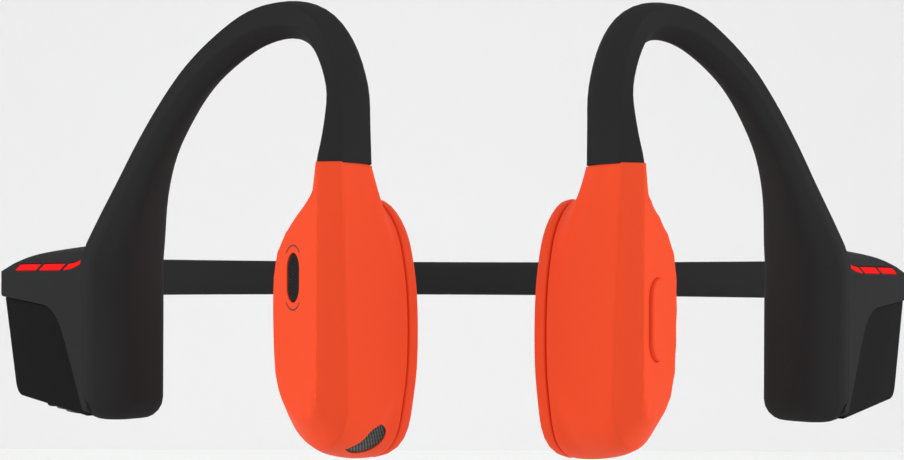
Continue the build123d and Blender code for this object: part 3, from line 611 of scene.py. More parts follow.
def prism(name: str, place: Place, outline: Outline, low: float, high: float) -> Piece:
    """Raise one outline from a low level to a high one."""
    return stack(name, place, [(outline, low), (outline, high)])


# ------------ curves


def through(points: Sequence[Sequence[float]], steps: int) -> list[list[float]]:
    """Run a smooth curve through points of any number of coordinates.

    Args:
        points: the points.
        steps: parts between two points.

    Returns:
        Points of the curve, both ends among them.
    """
    curve = []
    last = len(points) - 1
    for index in range(last):
        before, first = points[max(index - 1, 0)], points[index]
        second, after = points[index + 1], points[min(index + 2, last)]
        for step in range(steps):
            t = step / steps
            weights = (-0.5 * t + t * t - 0.5 * t**3, 1 - 2.5 * t * t + 1.5 * t**3,
                       0.5 * t + 2 * t * t - 1.5 * t**3, -0.5 * t * t + 0.5 * t**3)
            curve.append([sum(w * p for w, p in zip(weights, four))
                          for four in zip(before, first, second, after)])
    curve.append(list(points[-1]))
    return curve


def eased(corners: Outline, radii: dict[int, float], parts: int = 3) -> Outline:
    """Round chosen corners of a closed outline.

    Args:
        corners: the outline.
        radii: how far the rounding reaches from a corner, by its index.
        parts: straight parts of each rounding.

    Returns:
        The outline with its roundings.
    """
    outline = []
    for index, corner in enumerate(corners):
        if index not in radii:
            outline.append(corner)
            continue
        here = Vector(corner)
        ends = [here + (Vector(other) - here).normalized() * radii[index]
                for other in (corners[index - 1], corners[(index + 1) % len(corners)])]
        for step in range(parts + 1):
            t = step / parts
            place = ends[0] * (1 - t) ** 2 + here * 2 * t * (1 - t) + ends[1] * t * t
            outline.append((place.x, place.y))
    return outline


# ------------ ear pods


@dataclass
class SidePart:
    """A sub-assembly on one side of the head, built in that side's frame."""

    frame: SideFrame
    palette: Palette

    @property
    def word(self) -> str:
        """The side's word."""
        return self.frame.side.word

    def at(self, x: float, y: float, z: float) -> Vector:
        """Return a point of the part in the frame of the CAD."""
        return self.frame.at(x, y, z)

    def stack(self, name: str, levels: Iterable[tuple[Outline, float]]) -> Piece:
        """Raise outlines, each with as many points, from level to level."""
        return stack(name, self.at, levels)

    def prism(self, name: str, outline: Outline, low: float, high: float) -> Piece:
        """Raise one outline from a low level to a high one."""
        return prism(name, self.at, outline, low, high)


@dataclass
class Pod(SidePart):
    """An ear pod: silicone shell with its neck, the pad on the cheek, and the side's own opening.

    The cage of the shell has columns that run round the outline from the front of the neck's top,
    down the back, round the foot and up the front, and rows from the flat face to the seam with the
    pad and into the recess. Its first rows have sharp corners at the neck's top, and some rows are
    creased. The pad's rows are insets with their depth below its edge or their rise above its face.
    """

    half_width: float = 8.0
    half_height: float = 15.1
    drop: float = 0.5
    crown: float = 0.35
    seam: float = -4.5
    gap: float = 0.12
    pad_face: float = -6.35
    pad_edge: Sequence[Pair] = ((1.2, 0), (0.16, 0), (0, 0.14), (0, 0.75))
    pad_round: Sequence[Pair] = ((0.22, 0.32), (0.75, 0.05), (1.8, 0))
    oval_power: float = 2.25
    wall: float = 1.3
    rim_rise: float = 0.9
    outer_edge: Pair = (0.14, 0.12)
    inner_edge: float = 0.15
    recess_floor: float = -0.5
    overcut: float = 0.2
    seat_centre: Pair = (0.8, -3.0)
    seat_radius: float = 5.63
    seat_top: float = 4.2
    pocket_top: float = 5.0
    face_height: float = 6.35
    crease_height: float = 4.13
    crease_lean: float = 0.045
    crease_level: float = 9.0
    cornered: int = 4
    row_creases: Sequence[tuple[int, float]] = ((0, 0.95), (1, 0.88), (10, 0.9))
    passes: int = 6
    relax: float = 0.7
    face: Outline = (
        (5.76, 18.3), (5.5, 18.3), (5.25, 16.2), (4.1, 14.4), (1.8, 12.7), (-0.6, 10.8), (-2.4, 8.6),
        (-3.15, 5.8), (-3.3, 2.2), (-3.15, -1.6), (-2.8, -4.9), (-1.7, -7.5), (0.4, -9.3), (2.8, -9.75),
        (4.8, -8.9), (5.66, -7.2), (5.76, -4.6), (5.76, -0.5), (5.76, 4.5), (5.76, 9.0), (5.76, 13.0),
        (5.76, 16.5))
    brow: Outline = (
        (7.72, 18.3), (3.7, 18.3), (2.8, 16.1), (0.9, 14.3), (-1.6, 12.4), (-3.9, 9.8), (-5.5, 6.6),
        (-6.4, 2.9), (-6.6, -0.8), (-6.2, -4.4), (-5.1, -7.6), (-3.2, -10.4), (-0.4, -12.5), (2.9, -13.3),
        (5.7, -12.3), (7.4, -9.7), (7.75, -6.2), (7.8, -1.2), (7.8, 4.3), (7.8, 9.0), (7.8, 13.0),
        (7.75, 16.4))
    belt: Ring = (
        (7.72, 18.2, 1.7), (3.75, 18.2, 2.3), (2.5, 16.2, 2.6), (0.1, 14.5, 2.7), (-2.3, 12.5, 2.7),
        (-4.6, 9.8, 2.7), (-6.2, 6.4, 2.7), (-7.1, 2.6, 2.7), (-7.2, -1.3, 2.7), (-6.7, -5.0, 2.7),
        (-5.6, -8.3, 2.7), (-3.6, -11.3, 2.7), (-0.6, -13.5, 2.7), (2.9, -13.9, 2.7), (5.8, -12.5, 2.7),
        (7.5, -9.7, 2.7), (7.8, -6.1, 2.7), (7.84, -1.1, 2.7), (7.84, 4.3, 2.6), (7.82, 9.0, 2.3),
        (7.82, 13.1, 2.0), (7.75, 16.4, 1.8))
    neck: Ring = (
        (7.5, 18.0, -0.5), (4.0, 18.0, -0.35), (2.3, 16.2, 0.6), (-0.1, 14.5, 1.2), (-2.7, 12.4, 1.2),
        (-5.0, 9.6, 1.2), (-6.7, 6.1, 1.2), (-7.5, 2.2, 1.2), (-7.6, -1.7, 1.2), (-7.1, -5.4, 1.2),
        (-6.0, -8.8, 1.2), (-4.0, -11.9, 1.2), (-0.8, -14.2, 1.2), (2.8, -14.2, 1.2), (5.9, -12.5, 1.2),
        (7.5, -9.6, 1.2), (7.8, -6.0, 1.2), (7.86, -1.0, 1.2), (7.86, 4.4, 1.2), (7.82, 9.0, 1.2),
        (7.78, 13.0, 1.2), (7.75, 16.2, 0.7))
    flare: Ring = (
        (6.8, 15.2, -0.85), (3.4, 15.6, -0.85), (0.4, 15.3, -1.0), (-2.2, 13.9, -1.2), (-4.4, 11.7, -1.5),
        (-6.2, 8.8, -1.6), (-7.4, 5.2, -1.6), (-7.9, 1.4, -1.6), (-7.9, -2.4, -1.6), (-7.4, -6.0, -1.6),
        (-6.3, -9.4, -1.6), (-4.2, -12.6, -1.6), (-0.8, -14.9, -1.6), (2.9, -14.5, -1.6),
        (5.9, -12.4, -1.6), (7.5, -9.3, -1.6), (7.8, -5.6, -1.6), (7.86, -0.8, -1.6), (7.82, 4.2, -1.6),
        (7.8, 8.8, -1.5), (7.6, 12.0, -1.3), (7.4, 13.9, -1.05))
    rim_turns: Sequence[float] = (
        66, 84, 100, 112, 124, 136, 151, 168, 187, 204, 218, 234, 258, 288, 308, 324, 340, 358, 15, 30,
        41, 52)

    def crease(self, x: float, y: float) -> float:
        """Return the height of the slanted strip's lower edge, which leans towards the pad in front."""
        share = (max(x, 0) / self.half_width) ** 2
        return self.crease_height + self.crease_lean * (y - self.crease_level) * share

    def rim(self, inset: float, depth: float) -> list[Point]:
        """Return the oval rim, drawn in by an inset, at a depth."""
        points = []
        for turn in self.rim_turns:
            angle = math.radians(turn)
            cosine, sine = math.cos(angle), math.sin(angle)
            wide, tall = self.half_width - inset, self.half_height - inset
            reach = (abs(cosine / wide) ** self.oval_power
                     + abs(sine / tall) ** self.oval_power) ** (-1 / self.oval_power)
            rise = self.crown * max(sine, 0) ** 2
            points.append((reach * cosine, reach * sine - self.drop + rise, depth))
        return points

    def rings(self, rows: Iterable[Ring], cornered: int = 0) -> list[list[Vector]]:
        """Return rows of the cage in the frame of the CAD, so wide that the smoothed rows run where they say.

        Args:
            rows: the rows as the surface shows them.
            cornered: how many of the first rows have their two corners, columns 0 and 1, kept sharp.

        Returns:
            The cage.
        """
        cage = []
        for index, row in enumerate(rows):
            goal = [self.at(*point) for point in row]
            ring = [point.copy() for point in goal]
            fixed = (0, 1) if index < cornered else ()
            for _ in range(self.passes):
                smooth = [(ring[i - 1] + 4 * ring[i] + ring[(i + 1) % len(ring)]) / 6
                          for i in range(len(ring))]
                ring = [point if i in fixed else point + self.relax * (goal[i] - smooth[i])
                        for i, point in enumerate(ring)]
            cage.append(ring)
        return cage

    def shell(self) -> Piece:
        """Model the shell: outer skin from the flat face to the rim, and the recess inside."""
        rows = [
            [(x, y, self.face_height) for x, y in self.face],
            [(x, y, self.crease(x, y)) for x, y in self.brow],
            self.belt, self.neck, self.flare,
            self.rim(0, self.seam + self.rim_rise), self.rim(0, self.seam + self.outer_edge[1]),
            self.rim(self.outer_edge[0], self.seam), self.rim(self.wall - self.inner_edge, self.seam),
            self.rim(self.wall, self.seam + self.inner_edge), self.rim(self.wall, self.recess_floor),
        ]
        shell = Piece.loft(f"{self.word}_shell", self.rings(rows, self.cornered))
        for row, weight in self.row_creases:
            shell.crease(lambda a, b: a[0] == b[0] == row, weight)
        last = self.cornered - 1
        shell.crease(lambda a, b: {a[1], b[1]} == {0, 1} and a[0] == b[0] in (0, last), 1.0)
        shell.crease(lambda a, b: a[1] == b[1] and a[1] in (0, 1) and max(a[0], b[0]) <= last, 1.0)
        return shell.smooth(3)

    def pad(self) -> Piece:
        """Model the pad: a rounded tray that closes the recess."""
        edge = self.seam - self.gap
        rows = [self.rim(inset, edge - depth) for inset, depth in self.pad_edge]
        rows += [self.rim(inset, self.pad_face + rise) for inset, rise in self.pad_round]
        return Piece.loft(f"{self.word}_pad", self.rings(rows)).smooth(2)

    def seat(self) -> Piece:
        """Model the round room of the transducer."""
        circle = disc(self.seat_centre, self.seat_radius, 40)
        return self.prism("seat", circle, self.recess_floor - self.overcut, self.seat_top)

    def pocket(self, centre: Pair, width: float, height: float) -> Piece:
        """Model a pocket from the oval recess up to the outer wall."""
        outline = box((centre[0] - width / 2, centre[0] + width / 2),
                      (centre[1] - height / 2, centre[1] + height / 2))
        return self.prism("pocket", outline, self.recess_floor - self.overcut, self.pocket_top)

    def build(self) -> None:
        """Build the pod's pieces and dress them."""
        shell = self.shell().cut(self.seat())
        if self.frame.side is Side.RIGHT:
            Microphone(self.frame, self.palette, self).build(shell)
            Vent(self.frame, self.palette).build(shell)
        else:
            MultifunctionButton(self.frame, self.palette, self).build(shell)
        shell.finish(self.palette, "orange_silicone", f"{self.word}_arm", f"{self.word}_pod_shell")
        self.pad().finish(self.palette, "orange_silicone", f"{self.word}_transducer",
                          f"{self.word}_skin_pad")


@dataclass
class Microphone(SidePart):
    """The microphone's recess in the pod's flat face, its woven cover and two printed arcs."""

    pod: Pod
    centre: Pair = (0.95, 5.7)
    length: float = 5.6
    width: float = 2.6
    recess: float = 0.9
    sink: float = 0.12
    point: float = 1.35
    pocket: Pair = (3.16, 3.56)
    clearance: float = 0.06
    cover_edge: Pair = (0.1, 0.5)
    arc_reach: float = 3.6
    arc_radius: float = 1.5
    arc_width: float = 0.18
    arc_start: float = 25
    arc_sweep: float = 130
    arc_depth: float = 0.1
    arc_relief: float = 0.012

    def build(self, shell: Piece) -> None:
        """Cut the recess and place the cover and the arcs.

        Args:
            shell: the pod's shell.
        """
        face, floor = self.pod.face_height, self.pod.face_height - self.recess
        outline = pill(self.centre, self.length, self.width, point=self.point)
        shell.cut(self.prism("mic_recess", outline, floor, face + 1))
        shell.cut(self.pod.pocket(self.centre, *self.pocket))
        top = face - self.sink
        levels = ((0, floor), (0, top - self.cover_edge[0]), (self.cover_edge[0], top),
                  (self.cover_edge[1], top))
        cover = self.stack("mic_cover", [
            (pill(self.centre, self.length - self.clearance, self.width - self.clearance, inset,
                  point=self.point), level)
            for inset, level in levels])
        cover.finish(self.palette, "steel_mesh", "right_arm", "mic_mesh")
        for end in (1, -1):
            self.printed_arc(end).finish(self.palette, "orange_silicone", "right_arm", look="mark")

    def printed_arc(self, end: int) -> Piece:
        """Model the thin arc beyond one end of the recess.

        Args:
            end: 1 above, -1 below.

        Returns:
            The arc.
        """
        centre = (self.centre[0], self.centre[1] + end * (self.arc_reach - self.arc_radius))
        parts = 12
        turns = [math.radians(self.arc_start + self.arc_sweep * step / parts) for step in range(parts + 1)]
        edges = [(self.arc_radius + self.arc_width / 2, turns),
                 (self.arc_radius - self.arc_width / 2, turns[::-1])]
        outline = [(centre[0] + reach * math.cos(turn), centre[1] + end * reach * math.sin(turn))
                   for reach, line in edges for turn in line]
        face = self.pod.face_height
        return self.prism(f"mic_arc_{'low' if end < 0 else 'high'}", outline,
                          face - self.arc_depth, face + self.arc_relief)


@dataclass
class Vent(SidePart):
    """The comma-shaped vent at the pod's foot, with its woven cover."""

    origin: Pair = (5.8, -11.7)
    wide_end: Pair = (1.5, 0.4)
    half_width: float = 1.2
    lean: Pair = (0.6, 0.8)
    sink: float = 0.14
    gap: float = 0.04
    cover_depth: float = -1.4
    recess_depth: float = -1.45
    top: float = 2.0
    belly: Outline = ((-3.3, -2.35), (-1.7, -3.45), (0.1, -3.25), (1.25, -1.7), (1.3, 0.05), (0.1, 1.2))
    hollow: Outline = ((0.1, 1.2), (-1.15, 0.6), (-1.95, -0.9), (-3.3, -2.35))

    def at(self, x: float, y: float, z: float) -> Vector:
        """Return a point over the vent's slanted plane, z out of it, in the frame of the CAD."""
        short, long = self.lean
        return self.frame.at(self.origin[0] + short * y + long * z,
                             self.origin[1] + long * y - short * z, -x)

    def outline(self, grow: float) -> Outline:
        """Return the comma: its belly and its hollow, grown by a margin about its wide end."""
        share = 1 + grow / self.half_width
        run = through(self.belly, 6)[:-1] + through(self.hollow, 6)[:-1]
        return [(self.wide_end[0] + share * x, self.wide_end[1] + share * y) for x, y in run]

    def build(self, shell: Piece) -> None:
        """Cut the vent and place its cover, which follows the shell a little below its surface.

        Args:
            shell: the pod's shell.
        """
        cover = shell.twin("vent_cover").apply("DISPLACE", strength=-self.sink * MM, mid_level=0.0)
        cover.meet(self.prism("plug", self.outline(-self.gap), self.cover_depth, self.top))
        shell.cut(self.prism("vent_recess", self.outline(0), self.recess_depth, self.top))
        cover.finish(self.palette, "steel_mesh", "right_arm", "port_mesh", look="vent_mesh")


@dataclass
class MultifunctionButton(SidePart):
    """The pill-shaped button in the left pod's flat face, with the insets and drops of its round edge."""

    pod: Pod
    centre: Pair = (2.2, 1.2)
    length: float = 9.2
    width: float = 4.5
    proud: float = 0.5
    travel: float = 0.3
    plate: float = 1.3
    slide: float = 0.08
    edge: Sequence[Pair] = (
        (0, 0.34), (0.03, 0.2), (0.1, 0.1), (0.22, 0.04), (0.4, 0.01), (0.9, 0))
    switch: Pair = (2.2, 4.3)
    pocket: Pair = (3.36, 3.16)
    stem: float = 0.7
    stem_end: float = 4.8
    hole_end: float = 4.5

    def build(self, shell: Piece) -> None:
        """Cut the button's seat and place the button.

        Args:
            shell: the pod's shell.
        """
        top = self.pod.face_height + self.proud
        low = top - self.plate
        seat = pill(self.centre, self.length, self.width, -self.slide, arc=20)
        shell.cut(self.prism("button_seat", seat, low - self.travel - self.slide, top + 1))
        hole = disc(self.switch, self.stem + self.slide)
        shell.cut(self.prism("stem_hole", hole, self.hole_end, low))
        shell.cut(self.pod.pocket(self.switch, *self.pocket))
        levels = [(0, low)] + [(inset, top - drop) for inset, drop in self.edge]
        button = self.stack("multifunction_cap", [
            (pill(self.centre, self.length, self.width, inset, arc=20), level) for inset, level in levels])
        rod = disc(self.switch, self.stem)
        button.join(self.prism("stem", rod, self.stem_end, low + 0.2))
        button.finish(self.palette, "orange_silicone", "multifunction", "multifunction_button")


# ------------ neckband path


@dataclass(frozen=True)
class BandPath:
    """Centre line of the neckband: a wide arc behind the neck, a tighter one on each side."""

    back: float = 52.0
    back_radius: float = 65.0
    side_radius: float = 30.0
    back_sweep: float = math.radians(60)
    side_sweep: float = math.radians(50)
    tail: float = 5.0
    level: float = 21.3

    def at(self, distance: float) -> tuple[Vector, Vector]:
        """Return the point and the heading at a distance from the middle, on the wearer's left.

        Args:
            distance: along the centre line, in millimetres.

        Returns:
            The point, in metres, and the unit heading.
        """
        back_length = self.back_radius * self.back_sweep
        side_length = self.side_radius * self.side_sweep
        turn = min(distance / self.back_radius, self.back_sweep)
        centre = Vector((0, self.back - self.back_radius))
        spot = centre + Vector((math.sin(turn), math.cos(turn))) * self.back_radius
        if distance > back_length:
            pivot = spot - Vector((math.sin(turn), math.cos(turn))) * self.side_radius
            turn += min((distance - back_length) / self.side_radius, self.side_sweep)
            spot = pivot + Vector((math.sin(turn), math.cos(turn))) * self.side_radius
        heading = Vector((math.cos(turn), -math.sin(turn)))
        spot += heading * max(distance - back_length - side_length, 0)
        return Vector((spot.x, spot.y, self.level)) * MM, Vector((*heading, 0))

    @property
    def half(self) -> float:
        """Length from the middle to one end of the sleeve, in millimetres."""
        return self.back_radius * self.back_sweep + self.side_radius * self.side_sweep + self.tail

    def section(self, distance: float, height: float, thickness: float, edge: float, side: Side,
                belly: float = 0.0) -> list[Vector]:
        """Return a rounded upright section across the band.

        Args:
            distance: from the middle, in millimetres.
            height: of the section.
            thickness: of the section.
            edge: radius of its corners.
            side: the half of the band.
            belly: how far the flanks stand proud at mid height.

        Returns:
            Its points in the frame of the CAD.
        """
        spot, heading = self.at(distance)
        across = Vector((-heading.y, heading.x, 0))
        parts = 4
        ring = []
        for quarter, (sx, sy) in enumerate(((1, 1), (-1, 1), (-1, -1), (1, -1))):
            for step in range(parts + 1):
                turn = math.pi / 2 * (quarter + step / parts)
                x = sx * (thickness / 2 - edge) + edge * math.cos(turn)
                y = sy * (height / 2 - edge) + edge * math.sin(turn)
                ring.append((x, y))
            if quarter in (1, 3):
                ring.append((sx * (thickness / 2 + belly), 0))
        places = [spot + across * x * MM + Vector((0, 0, y * MM)) for x, y in ring]
        return [Vector((side.value * place.x, place.y, place.z)) for place in places]


# ------------ arms


@dataclass
class Hook:
    """The ear hook: one bar with a flat facet in front, from the pod's neck to the pillar's foot.

    A station holds the centre (its height above the neckband), the heading of the facet in degrees,
    the facet's span, the reach to the arch's inside and outside, and the reach to front and back. The
    flanks are widest at shares of the reach to the front, and the back is rounded at shares of the
    reaches. The facet's edge to the inside softens from one station on, down to the pillar.
    """

    side: Side
    level: float = 21.3
    steps: int = 4
    edge: float = 0.22
    soft_edge: float = 1.3
    soft_from: int = 9
    edge_share: float = 0.45
    inner_flank: float = 0.25
    inner_round: float = 0.66
    outer_round: float = 0.72
    outer_flank: float = 0.1
    pillar_start: int = 14
    pillar_foot: float = -17.7
    pillar_round: float = 2.6
    foot_turns: Sequence[float] = (0, 20, 40, 60, 75, 87)
    stations: Sequence[Sequence[float]] = (
        (-14.9, -51.0, 12.5, 10, -0.40, 2.40, 2.85, 3.00, 2.92, 2.4),
        (-14.7, -50.4, 16.7, 12, -0.10, 1.85, 2.12, 2.65, 2.70, 2.4),
        (-14.8, -49.5, 21.0, 16, -0.05, 1.45, 1.70, 2.50, 2.50, 2.4),
        (-16.1, -47.5, 25.6, 22, -0.50, 1.30, 1.70, 2.40, 2.40, 2.5),
        (-18.3, -45.0, 28.7, 28, -1.20, 0.90, 1.95, 2.35, 2.30, 2.5),
        (-21.4, -42.5, 30.0, 34, -1.60, 0.90, 2.25, 2.10, 2.10, 2.5),
        (-25.2, -40.2, 29.6, 38, -1.55, 0.90, 2.55, 1.75, 1.80, 2.5),
        (-29.1, -38.0, 27.7, 42, -1.25, 1.00, 2.80, 1.40, 1.55, 2.6),
        (-32.8, -36.0, 24.7, 45, -1.10, 1.00, 2.85, 1.25, 1.45, 2.8),
        (-35.8, -34.4, 20.9, 48, -1.10, 1.00, 2.95, 1.25, 1.50, 3.0),
        (-38.5, -33.0, 16.1, 51, -1.25, 0.90, 2.90, 1.45, 1.80, 3.3),
        (-40.5, -31.9, 11.0, 53, -1.70, 0.70, 3.20, 2.00, 2.40, 4.0),
        (-42.1, -31.0, 5.2, 55, -2.50, 0.20, 3.40, 2.75, 3.60, 5.1),
        (-42.75, -30.55, 1.4, 55, -3.25, -0.05, 3.30, 3.70, 4.42, 5.4),
        (-42.8, -30.5, -2.8, 55, -3.50, -0.10, 3.30, 4.00, 4.45, 5.5),
        (-42.8, -30.5, -10.0, 55, -3.50, -0.10, 3.40, 4.00, 4.45, 5.5))

    def section(self, facet: Sequence[float], reach: Sequence[float], depth: Sequence[float],
                edge: float) -> Outline:
        """Return one section: a flat facet with eased edges and a rounded back.

        Args:
            facet: its span across.
            reach: to the inside and the outside.
            depth: to the front and the back.
            edge: how far the easing of the facet's edge to the inside reaches.

        Returns:
            The closed outline, x across and y towards the facet.
        """
        inside, outside = reach
        front, back = depth
        outline = through([
            (facet[1], front), (inside, self.inner_flank * front),
            (self.inner_round * inside, -self.inner_round * back), (0, -back),
            (-self.outer_round * outside, -self.outer_round * back),
            (-outside, self.outer_flank * front), (facet[0], front)], 5)
        widest = self.edge_share * (facet[1] - facet[0])
        return eased(outline, {0: min(edge, widest), len(outline) - 1: self.edge})

    def rings(self) -> list[list[Vector]]:
        """Return the sections in the frame of the CAD, from the pod's neck to the foot."""
        rows = through(self.stations, self.steps)
        points = [Vector((row[0], row[1], self.level + row[2])) for row in rows]
        first_upright = self.pillar_start * self.steps
        foot = rows[-1]
        for turn in map(math.radians, self.foot_turns):
            inset = self.pillar_round * (1 - math.cos(turn))
            rise = self.pillar_round * (1 - math.sin(turn))
            rows.append(foot[:4] + [foot[4] + inset, foot[5]] + [part - inset for part in foot[6:]])
            points.append(Vector((foot[0], foot[1], self.level + self.pillar_foot + rise)))
        rings = []
        for index, (row, point) in enumerate(zip(rows, points)):
            along = (points[min(index + 1, len(points) - 1)] - points[max(index - 1, 0)]).normalized()
            if index == 0:
                along = Vector((0, 0, 1))
            elif index >= first_upright:
                along = Vector((0, 0, -1))
            angle = math.radians(row[3])
            facet = Vector((-math.sin(angle), -math.cos(angle), 0))
            facet = (facet - along * facet.dot(along)).normalized()
            across = facet.cross(along)
            share = min(max(index / self.steps - self.soft_from, 0) / (self.pillar_start - self.soft_from), 1)
            edge = self.edge + (self.soft_edge - self.edge) * share
            ring = [point + across * x + facet * y
                    for x, y in self.section(row[4:6], row[6:8], row[8:10], edge)]
            rings.append([Vector((-self.side.value * p.x, p.y, p.z)) * MM for p in ring])
        return rings

    def build(self) -> Piece:
        """Loft the hook."""
        return Piece.loft(f"{self.side.word}_hook", self.rings())


@dataclass
class Arm(SidePart):
    """One arm: hook and housing in one silicone skin, the inset cover and the light strips.

    The housing's own frame has x forward from its front crease, y up from the band's level and z out.
    The crown gives a share of the thickness, a shift inwards and the rise above the dome; the foot is
    measured from the inner face and the bottom. The nose is the stepped line where the hook takes
    over, from the front edge and the bottom. The bottom's outer edge is cut by a wedge, given as its
    overlap, its reach and its place along the housing. Each light guide has a rear and a front end; the
    last one's curves run below and above to its tip.
    """

    band: BandPath
    length: float = 30.3
    thickness: float = 10.3
    front: float = -2.0
    band_line: float = -2.6
    bottom_rear: float = -16.3
    bottom_front: float = -17.4
    top_edge: float = 0.75
    bevel_up: float = 1.1
    bevel_in: float = 0.7
    dome_front: float = 4.2
    dome_rear: float = 2.4
    lid_rear: Pair = (7.5, 0.5)
    lid_front: Pair = (-8, -0.1)
    crown: Ring = ((0.25, 0, -0.75), (0.5, 0.3, 0.1), (0.8, 0, -1.15))
    rear_slope: Pair = (5.27, 0.1)
    rear_step: Pair = (0.5, 0.2)
    rear_round: float = 1.9
    foot: Outline = ((0, 2.6), (0.25, 1.7), (0.9, 0.7))
    foot_run: float = 1.8
    housing_round: float = 0.2
    side_reach: float = 10.0
    nose: Outline = ((0, 3.6), (1.4, 2.6), (1.4, 1.8), (0, 1.2), (-1.5, 0.95), (-1.5, 0))
    foot_wedge: Sequence[tuple[float, float, float]] = ((0.1, 0.1, -7.0), (0.3, 1.7, 0.5))
    cover_sink: float = 0.4
    cover_thickness: float = 1.2
    cover_gap: float = 0.1
    cover_round: float = 0.15
    cover_corner: float = 10.6
    cover_fall: float = 1.35
    cover_foot: float = 0.0
    cover_radius: float = 4.6
    case_top: float = -1.9
    lights: Sequence[Pair] = ((-24.9, -17.4), (-16.3, -9.2), (-8.2, -3.6))
    overrun: float = 3.0
    light_height: float = 1.0
    light_depth: float = 1.5
    light_slant: float = 0.8
    light_gap: float = 0.12
    light_round: float = 0.08
    light_belly: Outline = ((-5.9, -0.22), (-3.7, 0.75))
    light_tip: Pair = (-2.05, 2.5)
    light_back: Outline = ((-4.3, 1.25), (-6.0, 0.66))
    case_x: Pair = (-24.3, -3.6)
    case_y: Pair = (-14.9, -1.2)
    case_depth: float = 7.2
    socket_size: tuple[float, float, float] = (6.4, 4.0, 1.7)
    socket_reach: Sequence[float] = (0.4, -3, -8, -12)

    def side_outline(self) -> Outline:
        """Return the housing's outline in its side view."""
        rear = -self.length
        lid = through([
            (rear, self.top_edge), (rear + self.lid_rear[0], self.dome_rear + self.lid_rear[1]),
            (self.lid_front[0], self.dome_front + self.lid_front[1]), (self.front, self.dome_front)], 8)
        nose = self.front + self.overrun
        run, rise = self.rear_step
        corners = [(nose, self.dome_front), (nose, self.bottom_front),
                   (rear + self.rear_slope[0], self.bottom_rear + self.rear_slope[1]),
                   (rear + run, self.band_line - rise), (rear, self.band_line + rise)]
        return eased(corners + lid, {2: self.rear_round}, 8)

    def end_outline(self) -> Outline:
        """Return the housing's outline seen from behind: z out and y up."""
        inner, low = -self.thickness, self.bottom_front - 1
        top = through([(-self.bevel_in, self.top_edge + self.bevel_up),
                       *((inner * share - shift, self.dome_front + rise)
                         for share, shift, rise in self.crown),
                       (inner, self.top_edge)], 6)
        foot = [(inner + run, self.bottom_front + rise) for run, rise in self.foot]
        foot.append((inner + self.foot_run, low))
        return [(0, low), (0, self.top_edge)] + top + foot

    def foot_corner(self, over: float, reach: float) -> Outline:
        """Return a triangle over the foot's outer edge, seen from behind: y up and z out."""
        foot = self.bottom_front
        return [(foot - over, over), (foot - over, -reach), (foot + reach, over)]

    def housing(self) -> Piece:
        """Model the block behind the ear: where its side view and its end view meet."""
        side = self.prism(f"{self.word}_side_view", self.side_outline(), -self.thickness - 1, 1)
        ends = [[self.at(x, y, z) for z, y in self.end_outline()]
                for x in (-self.length - 2, self.side_reach)]
        block = side.meet(Piece.loft("end_view", ends)).round(self.housing_round, 40)
        low, far = self.bottom_front - 1, self.front + 2 * self.overrun
        beyond = [(self.front, self.side_reach)] + [(self.front + x, low + y) for x, y in self.nose]
        beyond += [(far, low), (far, self.side_reach)]
        block.cut(self.prism("beyond", beyond, -self.thickness - 2, 2))
        block.cut(stack("wedge", lambda y, z, x: self.at(x, y, z), [
            (self.foot_corner(over, reach), x) for over, reach, x in self.foot_wedge]))
        return block

    def cover_outline(self, inset: float) -> Outline:
        """Return the cover's outline on the flat outer face, drawn in by an inset."""
        rear, low = -self.length - 2 + inset, self.bottom_front - 2 + inset
        top, corner = self.band_line - self.cover_fall - inset, -self.cover_corner - inset
        corners = [(rear, self.band_line - inset), (corner, top), (self.cover_foot - inset, low), (rear, low)]
        return eased(corners, {1: self.cover_radius}, 10)

    def cover(self) -> Piece:
        """Model the cover: the outline, cut off at the housing's own edge."""
        high = -self.cover_sink
        low = high - self.cover_thickness
        blank = self.prism(f"{self.word}_cover", self.cover_outline(self.cover_gap), low, high)
        blank.meet(self.prism("edge", self.side_outline(), low - 1, high + 1))
        return blank.round(self.cover_round)

    def on_bevel(self, x: float, y: float, out: float) -> Vector:
        """Return a point of the bevel along the top edge: x forward, y up the bevel."""
        length = math.hypot(self.bevel_up, self.bevel_in)
        rise, lean = self.bevel_up / length, self.bevel_in / length
        return self.at(x, self.top_edge + self.bevel_up / 2 + y * rise + out * lean,
                       -self.bevel_in / 2 - y * lean + out * rise)

    def light_outline(self, index: int, grow: float) -> Outline:
        """Return one light guide in the bevel: a slanted bar, or for the last a wedge that rises.

        Args:
            index: of the guide, from the rear.
            grow: added all round.

        Returns:
            The closed outline.
        """
        rear, front = self.lights[index]
        half = self.light_height / 2 + grow
        slant = 0.5 * self.light_slant
        if index < len(self.lights) - 1:
            return [(rear - slant - grow, -half), (front - slant + grow, -half),
                    (front + slant + grow, half), (rear + slant - grow, half)]
        (low_x, low_y), (rise_x, rise_y) = self.light_belly
        tip_x, tip_y = self.light_tip
        low = through([(rear - slant - grow, -half), (low_x, low_y - grow), (rise_x + grow, rise_y - grow),
                       (tip_x + grow, tip_y)], 4)
        high = through([(tip_x + grow, tip_y + grow), *((x, y + grow) for x, y in self.light_back),
                        (rear + slant - grow, half)], 4)
        return low + high

    def light(self, index: int, grow: float, name: str) -> Piece:
        """Model one light guide, or with growth its slot."""
        return prism(name, self.on_bevel, self.light_outline(index, grow), -self.light_depth,
                     3 if grow else 0)

    def socket(self) -> Piece:
        """Model the room for the end of the neckband."""
        return Piece.loft("socket", [
            self.band.section(self.band.half + reach, *self.socket_size, self.frame.side)
            for reach in self.socket_reach])

